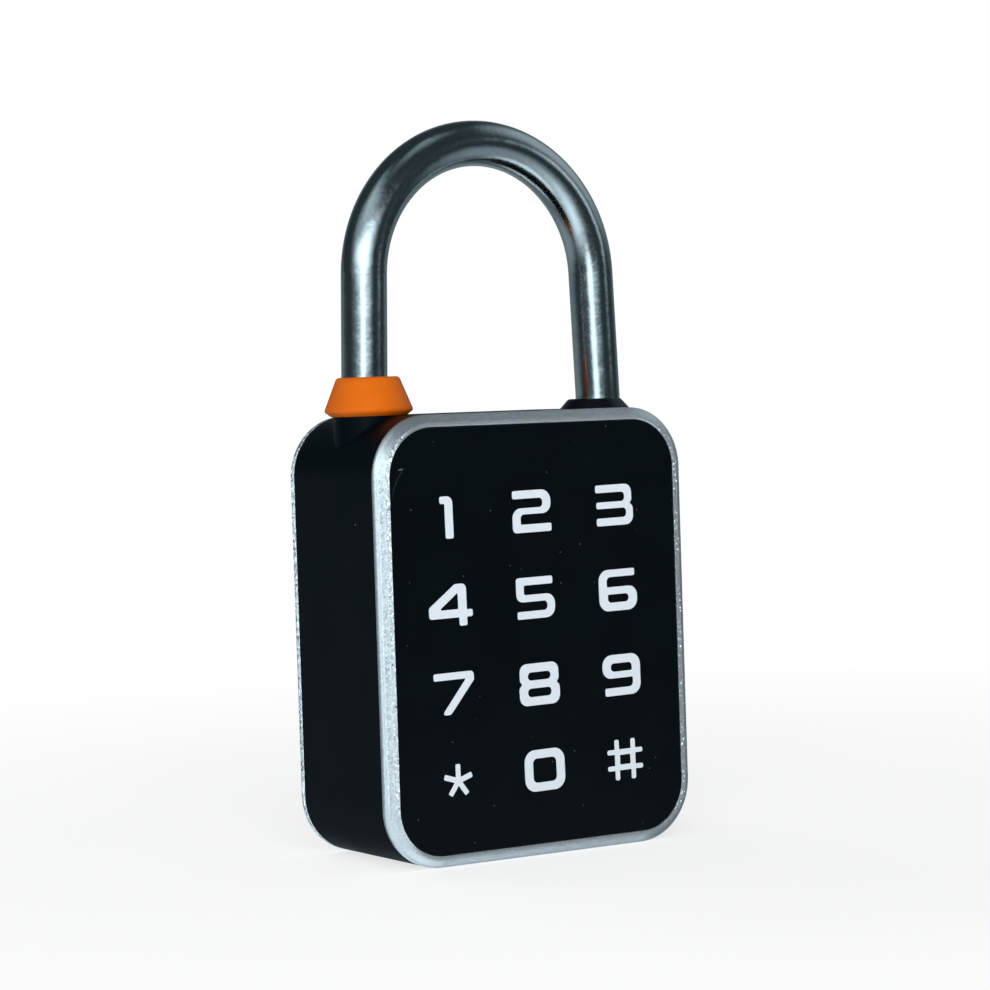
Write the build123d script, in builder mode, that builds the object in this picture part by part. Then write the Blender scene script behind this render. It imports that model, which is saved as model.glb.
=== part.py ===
from build123d import *
from math import cos, pi, radians, sin, sqrt, tan
import os

# A keypad padlock: a black casing between two silver bezels, a steel shackle and a motor-driven latch.
# Millimetres. The origin is at the middle of the base, +Z is up, and the keypad faces -Y.

# Clearances and the one overrun that all cuts share
running_gap = 0.05
fit_gap = 0.1
cut_overrun = 1.0

# Body outline, and the casing between the bezels
body_width = 55.0
body_height = 67.5
body_depth = 27.6
corner_radius = 9.3
casing_wall = 3.0
web_depth = 10.4

# Bezels, and the panels that they frame
bezel_chamfer_in = 1.15
bezel_chamfer_deep = 1.0
bezel_side = 1.05
bezel_land = 0.68
spigot_width = 1.8
spigot_depth = 1.85
panel_thickness = 1.1
panel_recess = 0.15
panel_edge_break = 0.12

# Bezel screws and the corner posts that take them
post_inset = 7.0
post_radius = 3.2
lug_radius = 2.6
bezel_screw_radius = 0.95
bezel_screw_length = 6.0
bezel_screw_head_radius = 1.8

# Gaskets in the rims of the casing
gasket_inset = 0.95
gasket_width = 1.0
gasket_height = 0.8

# Shackle
rod_diameter = 7.0
leg_spacing_share = 0.778
leg_lean_degrees = 1.9
straight_neck = 2.0
loop_height = 38.0
toe_reach = 11.5
heel_reach = 34.0
leg_tip_chamfer = 0.8
shackle_lift = 12.3
bore_floor_gap = 0.8
bore_mouth_chamfer = 0.4

# Collars round the bores, and the seals on them; both stand a little inward of the legs
collar_radius = 5.2
collar_offset = 0.4
seal_offset = 0.7
toe_seal_base_radius = 5.7
toe_seal_rim_radius = 6.78
toe_seal_rim_height = 0.8
toe_seal_top_radius = 4.75
toe_seal_height = 5.9
toe_seal_round = 0.7
toe_seal_rim_round = 0.4
heel_seal_base_radius = 5.45
heel_seal_top_radius = 4.1
heel_seal_height = 1.5
heel_seal_round = 0.8
grommet_radius = 4.3
grommet_depth = 4.0

# Latch bolt
bolt_below_top = 6.9
bolt_height = 4.4
bolt_body_depth = 8.0
bolt_nose_depth = 5.0
bolt_nose_length = 6.6
bolt_setback = 0.25
bolt_travel = 2.3
bolt_end_gap = 2.0
bolt_edge_break = 0.4
notch_depth = 2.6
follower_thickness = 2.4

# Cam that moves the bolt, and its shaft
cam_turn_degrees = 90.0
cam_lift = 4.2
cam_thickness = 2.4
cam_hub_radius = 1.85
cam_lead_degrees = 10.0
shaft_radius = 1.2
shaft_flat_depth = 0.4
shaft_seat_depth = 2.0

# Springs: the wire is drawn with eight flat sides, which keeps the hidden coils light
wire_sides = 8

# Bolt spring
bolt_spring_radius = 1.35
bolt_spring_wire = 0.4
bolt_spring_turns = 9
bolt_spring_hole_depth = 9.4

# Gear motor
motor_width = 10.0
motor_depth = 8.0
gearbox_height = 9.0
gearbox_edge_break = 0.5
gearbox_boss_radius = 2.0
gearbox_boss_height = 0.3
motor_can_height = 10.8
motor_cap_height = 1.2
terminal_width = 1.2
terminal_thickness = 0.3
terminal_length = 1.5
terminal_spacing = 5.0

# Lock frame, its cover and its screws
bore_to_frame = 4.15
frame_front_wall_y = -4.1
frame_top_wall = 1.2
frame_end_wall = 1.3
frame_foot = 4.0
frame_flange = 3.45
frame_flange_thickness = 1.0
frame_corner_radius = 2.0
frame_rear_wall = 1.1
frame_rib = 1.2
chamber_gap = 0.4
frame_screw_offset = 2.075
frame_screw_radius = 0.8
frame_screw_length = 4.0
frame_screw_head_radius = 1.3
frame_screw_drop = 8.0
frame_screw_rise = 4.5
cover_thickness = 0.8
cover_screw_radius = 0.7
cover_screw_length = 3.2
cover_screw_head_radius = 1.3
cover_screw_head_height = 0.35
cover_screw_inset = 2.4

# Retaining pin for the heel leg
pin_radius = 1.2
pin_length = 9.4
pin_below_top = 15.5
heel_flat_depth = 1.35

# Shackle spring
shackle_spring_length = 12.0
shackle_spring_radius = 3.35
shackle_spring_wire = 0.7
shackle_spring_turns = 6

# Circuit boards
board_thickness = 1.0
lug_clearance = 0.3
main_board_side_gap = 0.3
main_board_top_gap = 17.5
main_board_bottom_gap = 1.0
standoff_height = 1.2
standoff_radius = 1.7
standoff_inset = 1.75
standoff_top_inset = 3.5
standoff_low_z = 14.0
board_screw_radius = 0.7
board_screw_length = 2.6
board_screw_head_radius = 1.4
board_screw_head_height = 0.6
chip_size = 7.0
chip_height = 0.9
chip_z = 34.0
touch_chip_size = 5.0
touch_chip_z = 40.0
buzzer_radius = 4.25
buzzer_height_share = 0.48
buzzer_hole_radius = 0.8
buzzer_side_inset = 9.0
buzzer_z = 18.0

# Ribbon cable between the boards, and its sockets
ribbon_width = 6.0
ribbon_thickness = 0.2
ribbon_x = 7.0
ribbon_drop = 3.0
ribbon_socket_width = 8.0
ribbon_socket_height = 3.0
ribbon_socket_depth_share = 0.265
ribbon_socket_z = 24.0

# Charging socket and its plug
socket_width = 8.94
socket_height = 3.26
socket_length = 7.3
socket_shell = 0.3
socket_back = 1.0
socket_setback = 0.35
tongue_width = 6.7
tongue_thickness = 0.7
tongue_length = 4.4
port_margin = 0.3
plug_flange_width = 13.0
plug_flange_height = 6.2
plug_flange_thickness = 1.1
plug_recess = 0.3
plug_nick_radius = 1.0

# Battery
battery_width = 33.0
battery_bottom = 12.0
battery_top_gap = 11.5
battery_round_share = 0.28
pad_thickness = 2.05
pad_side_inset = 4.5
pad_end_inset = 5.0

# Worked out from the sizes above
half_depth = body_depth / 2
bezel_thickness = bezel_chamfer_deep + bezel_side
rim_y = half_depth - bezel_thickness
web_half = web_depth / 2
panel_inset = bezel_chamfer_in + bezel_land
pocket_floor_y = half_depth - panel_recess - panel_thickness
spigot_inset = casing_wall + fit_gap
opening_inset = spigot_inset + spigot_width
spigot_end_y = rim_y - spigot_depth
post_pitch_x = body_width - 2 * post_inset
post_pitch_z = body_height - 2 * post_inset
rod_radius = rod_diameter / 2
bore_radius = rod_radius + running_gap
leg_x = leg_spacing_share * body_width / 2
collar_x = leg_x - collar_offset
seal_x = leg_x - seal_offset
toe_tip_z = body_height - toe_reach
heel_tip_z = body_height - heel_reach
bolt_z = body_height - bolt_below_top
bolt_low_z = bolt_z - bolt_height / 2
bolt_high_z = bolt_z + bolt_height / 2
nose_tip_x = -leg_x + bore_radius + bolt_setback
bolt_shoulder_x = nose_tip_x + bolt_nose_length
cam_rise_per_radian = bolt_travel / radians(cam_turn_degrees)
follower_x = cam_lift + running_gap
cam_top_z = bolt_low_z - 2 * fit_gap - running_gap
cam_low_z = cam_top_z - cam_thickness
gearbox_top_z = cam_low_z - gearbox_boss_height - fit_gap
gearbox_low_z = gearbox_top_z - gearbox_height
can_low_z = gearbox_low_z - motor_can_height
cap_low_z = can_low_z - motor_cap_height
frame_low_z = cap_low_z - frame_foot
frame_half_width = leg_x - bore_radius - bore_to_frame
frame_top_z = bolt_high_z + running_gap + frame_top_wall
frame_rear_y = web_half
flange_rear_y = frame_rear_y + frame_flange_thickness
bolt_channel_end_x = frame_half_width - frame_end_wall
bolt_end_x = bolt_channel_end_x - bolt_end_gap
spring_seat_x = bolt_end_x - bolt_spring_hole_depth
pin_z = body_height - pin_below_top
heel_flat_x = leg_x - rod_radius + heel_flat_depth
pin_x = heel_flat_x - fit_gap - pin_radius
frame_screw_x = frame_half_width + frame_screw_offset
frame_screw_low_z = frame_low_z + frame_screw_rise
frame_screw_high_z = frame_top_z - frame_screw_drop
board_rear_y = -web_half - standoff_height
board_front_y = board_rear_y - board_thickness
touch_board_rear_y = -pocket_floor_y + board_thickness
board_bay_depth = board_front_y - touch_board_rear_y
buzzer_height = buzzer_height_share * board_bay_depth
ribbon_socket_depth = ribbon_socket_depth_share * board_bay_depth
main_board_half_width = post_pitch_x / 2 - post_radius - main_board_side_gap
main_board_low_z = casing_wall + main_board_bottom_gap
main_board_high_z = body_height - main_board_top_gap
standoff_x = main_board_half_width - standoff_inset
buzzer_x = buzzer_side_inset - main_board_half_width
standoff_high_z = main_board_high_z - standoff_top_inset
socket_y = board_rear_y + socket_height / 2
socket_low_z = casing_wall + socket_setback
battery_front_y = flange_rear_y + fit_gap
battery_rear_y = pocket_floor_y - pad_thickness
battery_round = battery_round_share * (battery_rear_y - battery_front_y)
battery_top_z = body_height - battery_top_gap


def face_plane(y):
    """A plane that faces the keypad side, centred on the body, at depth y."""
    return Plane(origin=(0, y, body_height / 2), x_dir=(1, 0, 0), z_dir=(0, -1, 0))


def body_outline(y, inset=0):
    """The body's rounded outline at depth y, drawn in by inset."""
    with BuildSketch(face_plane(y)) as outline:
        RectangleRounded(body_width - 2 * inset, body_height - 2 * inset, corner_radius - inset)
    return outline.sketch


def corner_circles(y, radius):
    """A circle at each of the four bezel screws, at depth y."""
    with BuildSketch(face_plane(y)) as circles:
        with GridLocations(post_pitch_x, post_pitch_z, 2, 2):
            Circle(radius)
    return circles.sketch


def box_between(x_range, y_range, z_range):
    """A plain block between two corners, made apart from the part that uses it."""
    (x0, x1), (y0, y1), (z0, z1) = x_range, y_range, z_range
    block = Box(x1 - x0, y1 - y0, z1 - z0, mode=Mode.PRIVATE)
    return Pos((x0 + x1) / 2, (y0 + y1) / 2, (z0 + z1) / 2) * block


def slot_outline(z, width, height):
    """A round-ended slot for the charging port, at height z."""
    with BuildSketch(Plane.XY.offset(z)) as slot:
        with Locations((0, socket_y)):
            SlotOverall(width, height)
    return slot.sketch


def least_gap(radius, pitch, wire, turns):
    """The smallest gap between a spring's turns, measured on points along its wire."""
    steps_per_turn = 24
    points = []
    for step in range(turns * steps_per_turn + 1):
        angle = 2 * pi * step / steps_per_turn
        points.append((radius * cos(angle), radius * sin(angle), pitch * step / steps_per_turn))
    gaps = []
    for first in range(len(points)):
        for second in range(first + steps_per_turn // 2, len(points)):
            offsets = [a - b for a, b in zip(points[first], points[second])]
            gaps.append(sqrt(sum(offset * offset for offset in offsets)) - wire)
    return min(gaps)


# Casing: one casting, open to the front and the rear, with a web across the middle
with BuildPart() as casing:
    extrude(body_outline(rim_y), amount=2 * rim_y)
    with BuildSketch(Plane.XY.offset(body_height - corner_radius)):
        with Locations((-collar_x, 0), (collar_x, 0)):
            Circle(collar_radius)
    extrude(amount=corner_radius)
    extrude(body_outline(-web_half, casing_wall), amount=rim_y - web_half, mode=Mode.SUBTRACT)
    extrude(body_outline(rim_y, casing_wall), amount=rim_y - web_half, mode=Mode.SUBTRACT)
    # Posts for the bezel screws, and standoffs for the main board
    extrude(corner_circles(-web_half, post_radius), amount=spigot_end_y - web_half)
    extrude(corner_circles(spigot_end_y, post_radius), amount=spigot_end_y - web_half)
    with BuildSketch(Plane.XZ.offset(web_half)) as standoffs:
        for z in (standoff_low_z, standoff_high_z):
            with Locations((-standoff_x, z), (standoff_x, z)):
                Circle(standoff_radius)
    extrude(amount=standoff_height)
    # Window for the lock frame
    with BuildSketch(Plane.XZ.offset(web_half)) as window:
        with Locations((0, (frame_low_z + frame_top_z) / 2)):
            RectangleRounded(
                2 * (frame_half_width + fit_gap),
                frame_top_z - frame_low_z + 2 * fit_gap,
                frame_corner_radius + fit_gap,
            )
    extrude(amount=-web_depth, mode=Mode.SUBTRACT)
    # Bores for the two legs, and the seat of the black grommet
    with Locations((-leg_x, 0, body_height)):
        Hole(bore_radius, depth=toe_reach + bore_floor_gap)
    with Locations((leg_x, 0, body_height)):
        CounterBoreHole(
            bore_radius, grommet_radius, grommet_depth, depth=heel_reach + shackle_spring_length
        )
    mouth = casing.edges().filter_by(GeomType.CIRCLE).group_by(Axis.Z)[-1]
    chamfer(mouth.filter_by(lambda edge: abs(edge.radius - bore_radius) < fit_gap / 2), bore_mouth_chamfer)
    # Slot that lets the bolt's nose into the toe bore
    add(
        box_between(
            (-leg_x, -frame_half_width + frame_corner_radius),
            (-bolt_nose_depth / 2 - running_gap, bolt_nose_depth / 2 + running_gap),
            (bolt_low_z - running_gap, bolt_high_z + running_gap),
        ),
        mode=Mode.SUBTRACT,
    )
    # Hole for the retaining pin, drilled from the rear
    with Locations(Plane((pin_x, web_half, pin_z), x_dir=(1, 0, 0), z_dir=(0, 1, 0))):
        Hole(pin_radius, depth=pin_length)
    # Screw holes in the posts, the web and the standoffs
    for side in (-1, 1):
        post_face = Plane((0, side * spigot_end_y, body_height / 2), x_dir=(side, 0, 0), z_dir=(0, side, 0))
        with Locations(post_face):
            with GridLocations(post_pitch_x, post_pitch_z, 2, 2):
                Hole(bezel_screw_radius, depth=bezel_screw_length - spigot_depth)
    with Locations(Plane((0, web_half, 0), x_dir=(-1, 0, 0), z_dir=(0, 1, 0))):
        for z in (frame_screw_low_z, frame_screw_high_z):
            with Locations((-frame_screw_x, z), (frame_screw_x, z)):
                Hole(frame_screw_radius, depth=frame_screw_length)
    with Locations(Plane((0, board_rear_y, 0), x_dir=(1, 0, 0), z_dir=(0, -1, 0))):
        for z in (standoff_low_z, standoff_high_z):
            with Locations((-standoff_x, z), (standoff_x, z)):
                Hole(board_screw_radius, depth=board_screw_length)
    # Charging port: a slot through the floor, a seat for its plug and room for the socket in the web
    extrude(
        slot_outline(0, socket_width + 2 * port_margin, socket_height + 2 * port_margin),
        amount=casing_wall,
        mode=Mode.SUBTRACT,
    )
    extrude(
        slot_outline(0, plug_flange_width, plug_flange_height),
        amount=plug_recess + plug_flange_thickness,
        mode=Mode.SUBTRACT,
    )
    add(
        box_between(
            (-socket_width / 2 - port_margin, socket_width / 2 + port_margin),
            (-web_half, socket_y + socket_height / 2 + port_margin),
            (casing_wall, socket_low_z + socket_length + port_margin),
        ),
        mode=Mode.SUBTRACT,
    )
    # Grooves for the gaskets in both rims
    for y in (-rim_y + gasket_height, rim_y):
        extrude(
            body_outline(y, gasket_inset) - body_outline(y, gasket_inset + gasket_width),
            amount=gasket_height,
            mode=Mode.SUBTRACT,
        )

# Front bezel: chamfered ring with a spigot, and a lug behind each screw
with BuildPart() as front_bezel:
    extrude(body_outline(-rim_y), amount=bezel_side)
    loft([body_outline(-rim_y - bezel_side), body_outline(-half_depth, bezel_chamfer_in)], ruled=True)
    extrude(body_outline(-spigot_end_y, spigot_inset), amount=spigot_depth)
    extrude(body_outline(-spigot_end_y, opening_inset), amount=half_depth, mode=Mode.SUBTRACT)
    extrude(corner_circles(-spigot_end_y, lug_radius), amount=pocket_floor_y - spigot_end_y)
    extrude(body_outline(-pocket_floor_y, panel_inset), amount=half_depth, mode=Mode.SUBTRACT)
    with Locations(face_plane(-pocket_floor_y)):
        with GridLocations(post_pitch_x, post_pitch_z, 2, 2):
            CounterSinkHole(
                bezel_screw_radius, bezel_screw_head_radius + running_gap, depth=spigot_depth + bezel_side
            )

# Rear bezel: the same moulding, turned to the back
with BuildPart() as rear_bezel:
    mirror(front_bezel.part, about=Plane.XZ)

# Touch panel: black glass, its edge just broken, set a little below the bezel's land
with BuildPart() as touch_panel:
    extrude(body_outline(-pocket_floor_y, panel_inset + running_gap), amount=panel_thickness)
    chamfer(touch_panel.faces().sort_by(Axis.Y)[0].edges(), panel_edge_break)

# Rear panel: a plain black plate of the same size
with BuildPart() as rear_panel:
    mirror(touch_panel.part, about=Plane.XZ)

# Gaskets: a flat ring in the groove of each rim
with BuildPart() as front_gasket:
    outer = body_outline(-rim_y + gasket_height, gasket_inset + running_gap)
    inner = body_outline(-rim_y + gasket_height, gasket_inset + gasket_width - running_gap)
    extrude(outer - inner, amount=gasket_height)

with BuildPart() as rear_gasket:
    mirror(front_gasket.part, about=Plane.XZ)

# Bezel screws: countersunk, heads level with the panel's seat
bezel_screw_head_height = bezel_screw_head_radius - bezel_screw_radius + running_gap
with BuildPart() as front_screws:
    extrude(
        corner_circles(-pocket_floor_y + bezel_screw_length, bezel_screw_radius - running_gap),
        amount=bezel_screw_length,
    )
    with Locations(face_plane(-pocket_floor_y + bezel_screw_head_height / 2)):
        with GridLocations(post_pitch_x, post_pitch_z, 2, 2):
            Cone(bezel_screw_radius - running_gap, bezel_screw_head_radius, bezel_screw_head_height)

with BuildPart() as rear_screws:
    mirror(front_screws.part, about=Plane.XZ)

# Shackle: round bar with a leaning arch, a short toe leg with a notch and a long heel leg with a flat
lean = radians(leg_lean_degrees)
neck_z = body_height + straight_neck
arch_rise = (loop_height - straight_neck + rod_radius - leg_x * cos(lean)) / (1 - sin(lean))
arch_centre_z = neck_z + arch_rise
arch_radius = leg_x * cos(lean) - arch_rise * sin(lean)
shoulder_angle = lean / 2 + pi / 4
with BuildPart() as shackle:
    with BuildLine(Plane.XZ) as bar_line:
        right_end = (arch_radius * cos(lean), arch_centre_z + arch_radius * sin(lean))
        right_shoulder = (
            arch_radius * cos(shoulder_angle),
            arch_centre_z + arch_radius * sin(shoulder_angle),
        )
        crown = (0, arch_centre_z + arch_radius)
        Line((leg_x, neck_z), right_end)
        ThreePointArc(right_end, right_shoulder, crown)
        ThreePointArc(crown, (-right_shoulder[0], right_shoulder[1]), (-right_end[0], right_end[1]))
        Line((-right_end[0], right_end[1]), (-leg_x, neck_z))
    with BuildSketch(Plane((leg_x, 0, neck_z), z_dir=(-sin(lean), 0, cos(lean)))):
        Circle(rod_radius)
    sweep(path=bar_line.wires()[0])
    with Locations((-leg_x, 0, neck_z), (leg_x, 0, neck_z)):
        Sphere(rod_radius)
    for x, tip_z in ((-leg_x, toe_tip_z), (leg_x, heel_tip_z)):
        with BuildSketch(Plane.XY.offset(tip_z)):
            with Locations((x, 0)):
                Circle(rod_radius)
        extrude(amount=neck_z - tip_z)
    for x in (-leg_x, leg_x):
        tip = shackle.faces().filter_by(Plane.XY).filter_by(lambda face: face.center().X * x > 0)
        chamfer(tip.sort_by(Axis.Z)[0].edges(), leg_tip_chamfer)
    add(
        box_between(
            (-leg_x + rod_radius - notch_depth, -leg_x + rod_diameter),
            (-rod_diameter, rod_diameter),
            (bolt_low_z - 2 * fit_gap, bolt_high_z + 2 * fit_gap),
        ),
        mode=Mode.SUBTRACT,
    )
    add(
        box_between(
            (leg_x - rod_diameter, heel_flat_x),
            (-rod_diameter, rod_diameter),
            (pin_z - pin_radius - fit_gap - shackle_lift, pin_z + pin_radius + fit_gap),
        ),
        mode=Mode.SUBTRACT,
    )

# Orange toe seal: a cone with a soft rim, its hole off centre so that its wide side lies inward
with BuildPart() as toe_seal:
    with BuildSketch(Plane.XZ) as toe_profile:
        with BuildLine():
            Polyline(
                (-seal_x, body_height),
                (-seal_x + toe_seal_base_radius, body_height),
                (-seal_x + toe_seal_rim_radius, body_height + toe_seal_rim_height),
                (-seal_x + toe_seal_top_radius, body_height + toe_seal_height),
                (-seal_x, body_height + toe_seal_height),
                close=True,
            )
        make_face()
        fillet(toe_profile.vertices().group_by(Axis.Y)[-1].sort_by(Axis.X)[-1], toe_seal_round)
        fillet(toe_profile.vertices().sort_by(Axis.X)[-1], toe_seal_rim_round)
    revolve(axis=Axis((-seal_x, 0, 0), (0, 0, 1)))
    with Locations((-leg_x, 0, neck_z)):
        Sphere(rod_radius + running_gap, mode=Mode.SUBTRACT)
    with BuildSketch(Plane.XY.offset(body_height)):
        with Locations((-leg_x, 0)):
            Circle(rod_radius + running_gap)
    extrude(amount=straight_neck, mode=Mode.SUBTRACT)
    with BuildSketch(Plane((-leg_x, 0, neck_z), z_dir=(sin(lean), 0, cos(lean)))):
        Circle(rod_radius + running_gap)
    extrude(amount=toe_seal_height, mode=Mode.SUBTRACT)

# Black heel seal: a low cone on a spigot that fills its seat in the casing
with BuildPart() as heel_seal:
    with BuildSketch(Plane.XZ) as heel_profile:
        with BuildLine():
            Polyline(
                (seal_x, body_height),
                (seal_x + heel_seal_base_radius, body_height),
                (seal_x + heel_seal_top_radius, body_height + heel_seal_height),
                (seal_x, body_height + heel_seal_height),
                close=True,
            )
        make_face()
        fillet(heel_profile.vertices().group_by(Axis.Y)[-1].sort_by(Axis.X)[-1], heel_seal_round)
    revolve(axis=Axis((seal_x, 0, 0), (0, 0, 1)))
    with BuildSketch(Plane.XY.offset(body_height)):
        with Locations((leg_x, 0)):
            Circle(grommet_radius - running_gap)
    extrude(amount=-grommet_depth)
    with Locations((leg_x, 0, body_height)):
        Hole(rod_radius + running_gap, depth=body_height)

# Latch bolt: a body in the lock frame, a nose for the toe leg's notch and a follower for the cam
with BuildPart() as latch_bolt:
    add(
        box_between(
            (bolt_shoulder_x, bolt_end_x),
            (-bolt_body_depth / 2, bolt_body_depth / 2),
            (bolt_low_z, bolt_high_z),
        )
    )
    add(
        box_between(
            (nose_tip_x, bolt_shoulder_x),
            (-bolt_nose_depth / 2, bolt_nose_depth / 2),
            (bolt_low_z, bolt_high_z),
        )
    )
    chamfer(latch_bolt.faces().sort_by(Axis.X)[0].edges(), bolt_edge_break)
    add(
        box_between(
            (follower_x, follower_x + follower_thickness),
            (-bolt_body_depth / 2, bolt_body_depth / 2),
            (cam_low_z, bolt_low_z),
        )
    )
    with Locations(Plane((bolt_end_x, 0, bolt_z), x_dir=(0, 1, 0), z_dir=(1, 0, 0))):
        Hole(bolt_spring_radius + fit_gap, depth=bolt_spring_hole_depth)

# Bolt spring: coil in the bolt's blind hole, against the end wall of the lock frame
bolt_spring_length = bolt_channel_end_x - spring_seat_x
bolt_spring_line_radius = bolt_spring_radius - bolt_spring_wire / 2
bolt_spring_pitch = (bolt_spring_length - bolt_spring_wire) / bolt_spring_turns
with BuildPart() as bolt_spring:
    with BuildLine():
        bolt_coil = Helix(
            bolt_spring_pitch,
            bolt_spring_length - bolt_spring_wire,
            bolt_spring_line_radius,
            center=(spring_seat_x + bolt_spring_wire / 2, 0, bolt_z),
            direction=(1, 0, 0),
        )
    with BuildSketch(Plane(bolt_coil @ 0, z_dir=bolt_coil % 0)):
        RegularPolygon(bolt_spring_wire / 2, wire_sides)
    sweep(path=bolt_coil, is_frenet=True)

# Shackle spring: coil between the floor of the heel bore and the heel leg
shackle_spring_line_radius = shackle_spring_radius - shackle_spring_wire / 2
shackle_spring_pitch = (shackle_spring_length - shackle_spring_wire) / shackle_spring_turns
with BuildPart() as shackle_spring:
    with BuildLine():
        shackle_coil = Helix(
            shackle_spring_pitch,
            shackle_spring_length - shackle_spring_wire,
            shackle_spring_line_radius,
            center=(leg_x, 0, heel_tip_z - shackle_spring_length + shackle_spring_wire / 2),
        )
    with BuildSketch(Plane(shackle_coil @ 0, z_dir=shackle_coil % 0)):
        RegularPolygon(shackle_spring_wire / 2, wire_sides)
    sweep(path=shackle_coil, is_frenet=True)

# Retaining pin: a dowel through the web that lies in the heel leg's flat
with BuildPart() as retaining_pin:
    with BuildSketch(Plane.XZ.offset(-web_half)):
        with Locations((pin_x, pin_z)):
            Circle(pin_radius - running_gap)
    extrude(amount=pin_length)
    chamfer(retaining_pin.edges().filter_by(GeomType.CIRCLE), fit_gap)


def involute_point(roll):
    """A point of the cam's flank, turned so that the flank lifts the follower fully at rest."""
    turn = pi / 2 - cam_roll_at_rest
    x = cam_rise_per_radian * (cos(roll) + roll * sin(roll))
    y = cam_rise_per_radian * (sin(roll) - roll * cos(roll))
    return (x * cos(turn) - y * sin(turn), x * sin(turn) + y * cos(turn))


# Drive cam: an involute flank moves a flat follower by the same amount for each degree
cam_roll_at_rest = cam_lift / cam_rise_per_radian
cam_roll_first = cam_roll_at_rest - radians(cam_turn_degrees + cam_lead_degrees)
cam_roll_last = cam_roll_at_rest + radians(cam_lead_degrees)
cam_tip_radius = cam_rise_per_radian * sqrt(1 + cam_roll_last**2)
flank_steps = 12
with BuildPart() as drive_cam:
    with BuildSketch(Plane.XY.offset(cam_low_z)):
        with BuildLine():
            roll_step = (cam_roll_last - cam_roll_first) / flank_steps
            flank = Spline(*[involute_point(cam_roll_first + roll_step * i) for i in range(flank_steps + 1)])
            Line(flank @ 1, (0, 0))
            Line((0, 0), flank @ 0)
        make_face()
        Circle(cam_hub_radius)
        Circle(shaft_radius + running_gap, mode=Mode.SUBTRACT)
        with Locations((0, shaft_radius + running_gap - shaft_flat_depth)):
            Rectangle(shaft_radius, shaft_flat_depth, align=(Align.CENTER, Align.MIN))
    extrude(amount=cam_thickness)

# Output shaft: round in the gearbox, with a flat where the cam sits
with BuildPart() as output_shaft:
    with BuildSketch(Plane.XY.offset(gearbox_top_z - shaft_seat_depth)):
        Circle(shaft_radius)
    extrude(amount=shaft_seat_depth + cam_top_z - gearbox_top_z)
    flat_y = shaft_radius - shaft_flat_depth - running_gap
    add(
        box_between(
            (-shaft_radius, shaft_radius),
            (flat_y, shaft_radius + cut_overrun),
            (cam_low_z - fit_gap, cam_top_z + cut_overrun),
        ),
        mode=Mode.SUBTRACT,
    )

# Gearbox: a closed block with a bearing boss round the shaft
with BuildPart() as gearbox:
    with BuildSketch(Plane.XY.offset(gearbox_low_z)):
        RectangleRounded(motor_width, motor_depth, gearbox_edge_break)
    extrude(amount=gearbox_height)
    with BuildSketch(Plane.XY.offset(gearbox_top_z)):
        Circle(gearbox_boss_radius)
    extrude(amount=gearbox_boss_height)
    with Locations((0, 0, gearbox_top_z + gearbox_boss_height)):
        Hole(shaft_radius + running_gap, depth=gearbox_boss_height + shaft_seat_depth + fit_gap)


def motor_outline(z):
    """The motor's section at height z: a circle with two flat sides."""
    with BuildSketch(Plane.XY.offset(z)) as section:
        Circle(motor_width / 2)
        Rectangle(motor_width, motor_depth, mode=Mode.INTERSECT)
    return section.sketch


# Motor can, and the plastic cap with the two terminals
with BuildPart() as motor_can:
    extrude(motor_outline(can_low_z), amount=motor_can_height)

with BuildPart() as motor_cap:
    extrude(motor_outline(cap_low_z), amount=motor_cap_height)
    with BuildSketch(Plane.XY.offset(cap_low_z)):
        with Locations((-terminal_spacing / 2, 0), (terminal_spacing / 2, 0)):
            Rectangle(terminal_width, terminal_thickness)
    extrude(amount=-terminal_length)


def frame_outline(y, gap=0):
    """The lock frame's rounded outline at depth y, drawn in by a gap."""
    with BuildSketch(Plane.XZ.offset(-y)) as outline:
        with Locations((0, (frame_low_z + frame_top_z) / 2)):
            RectangleRounded(
                2 * (frame_half_width - gap), frame_top_z - frame_low_z - 2 * gap, frame_corner_radius - gap
            )
    return outline.sketch


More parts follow.
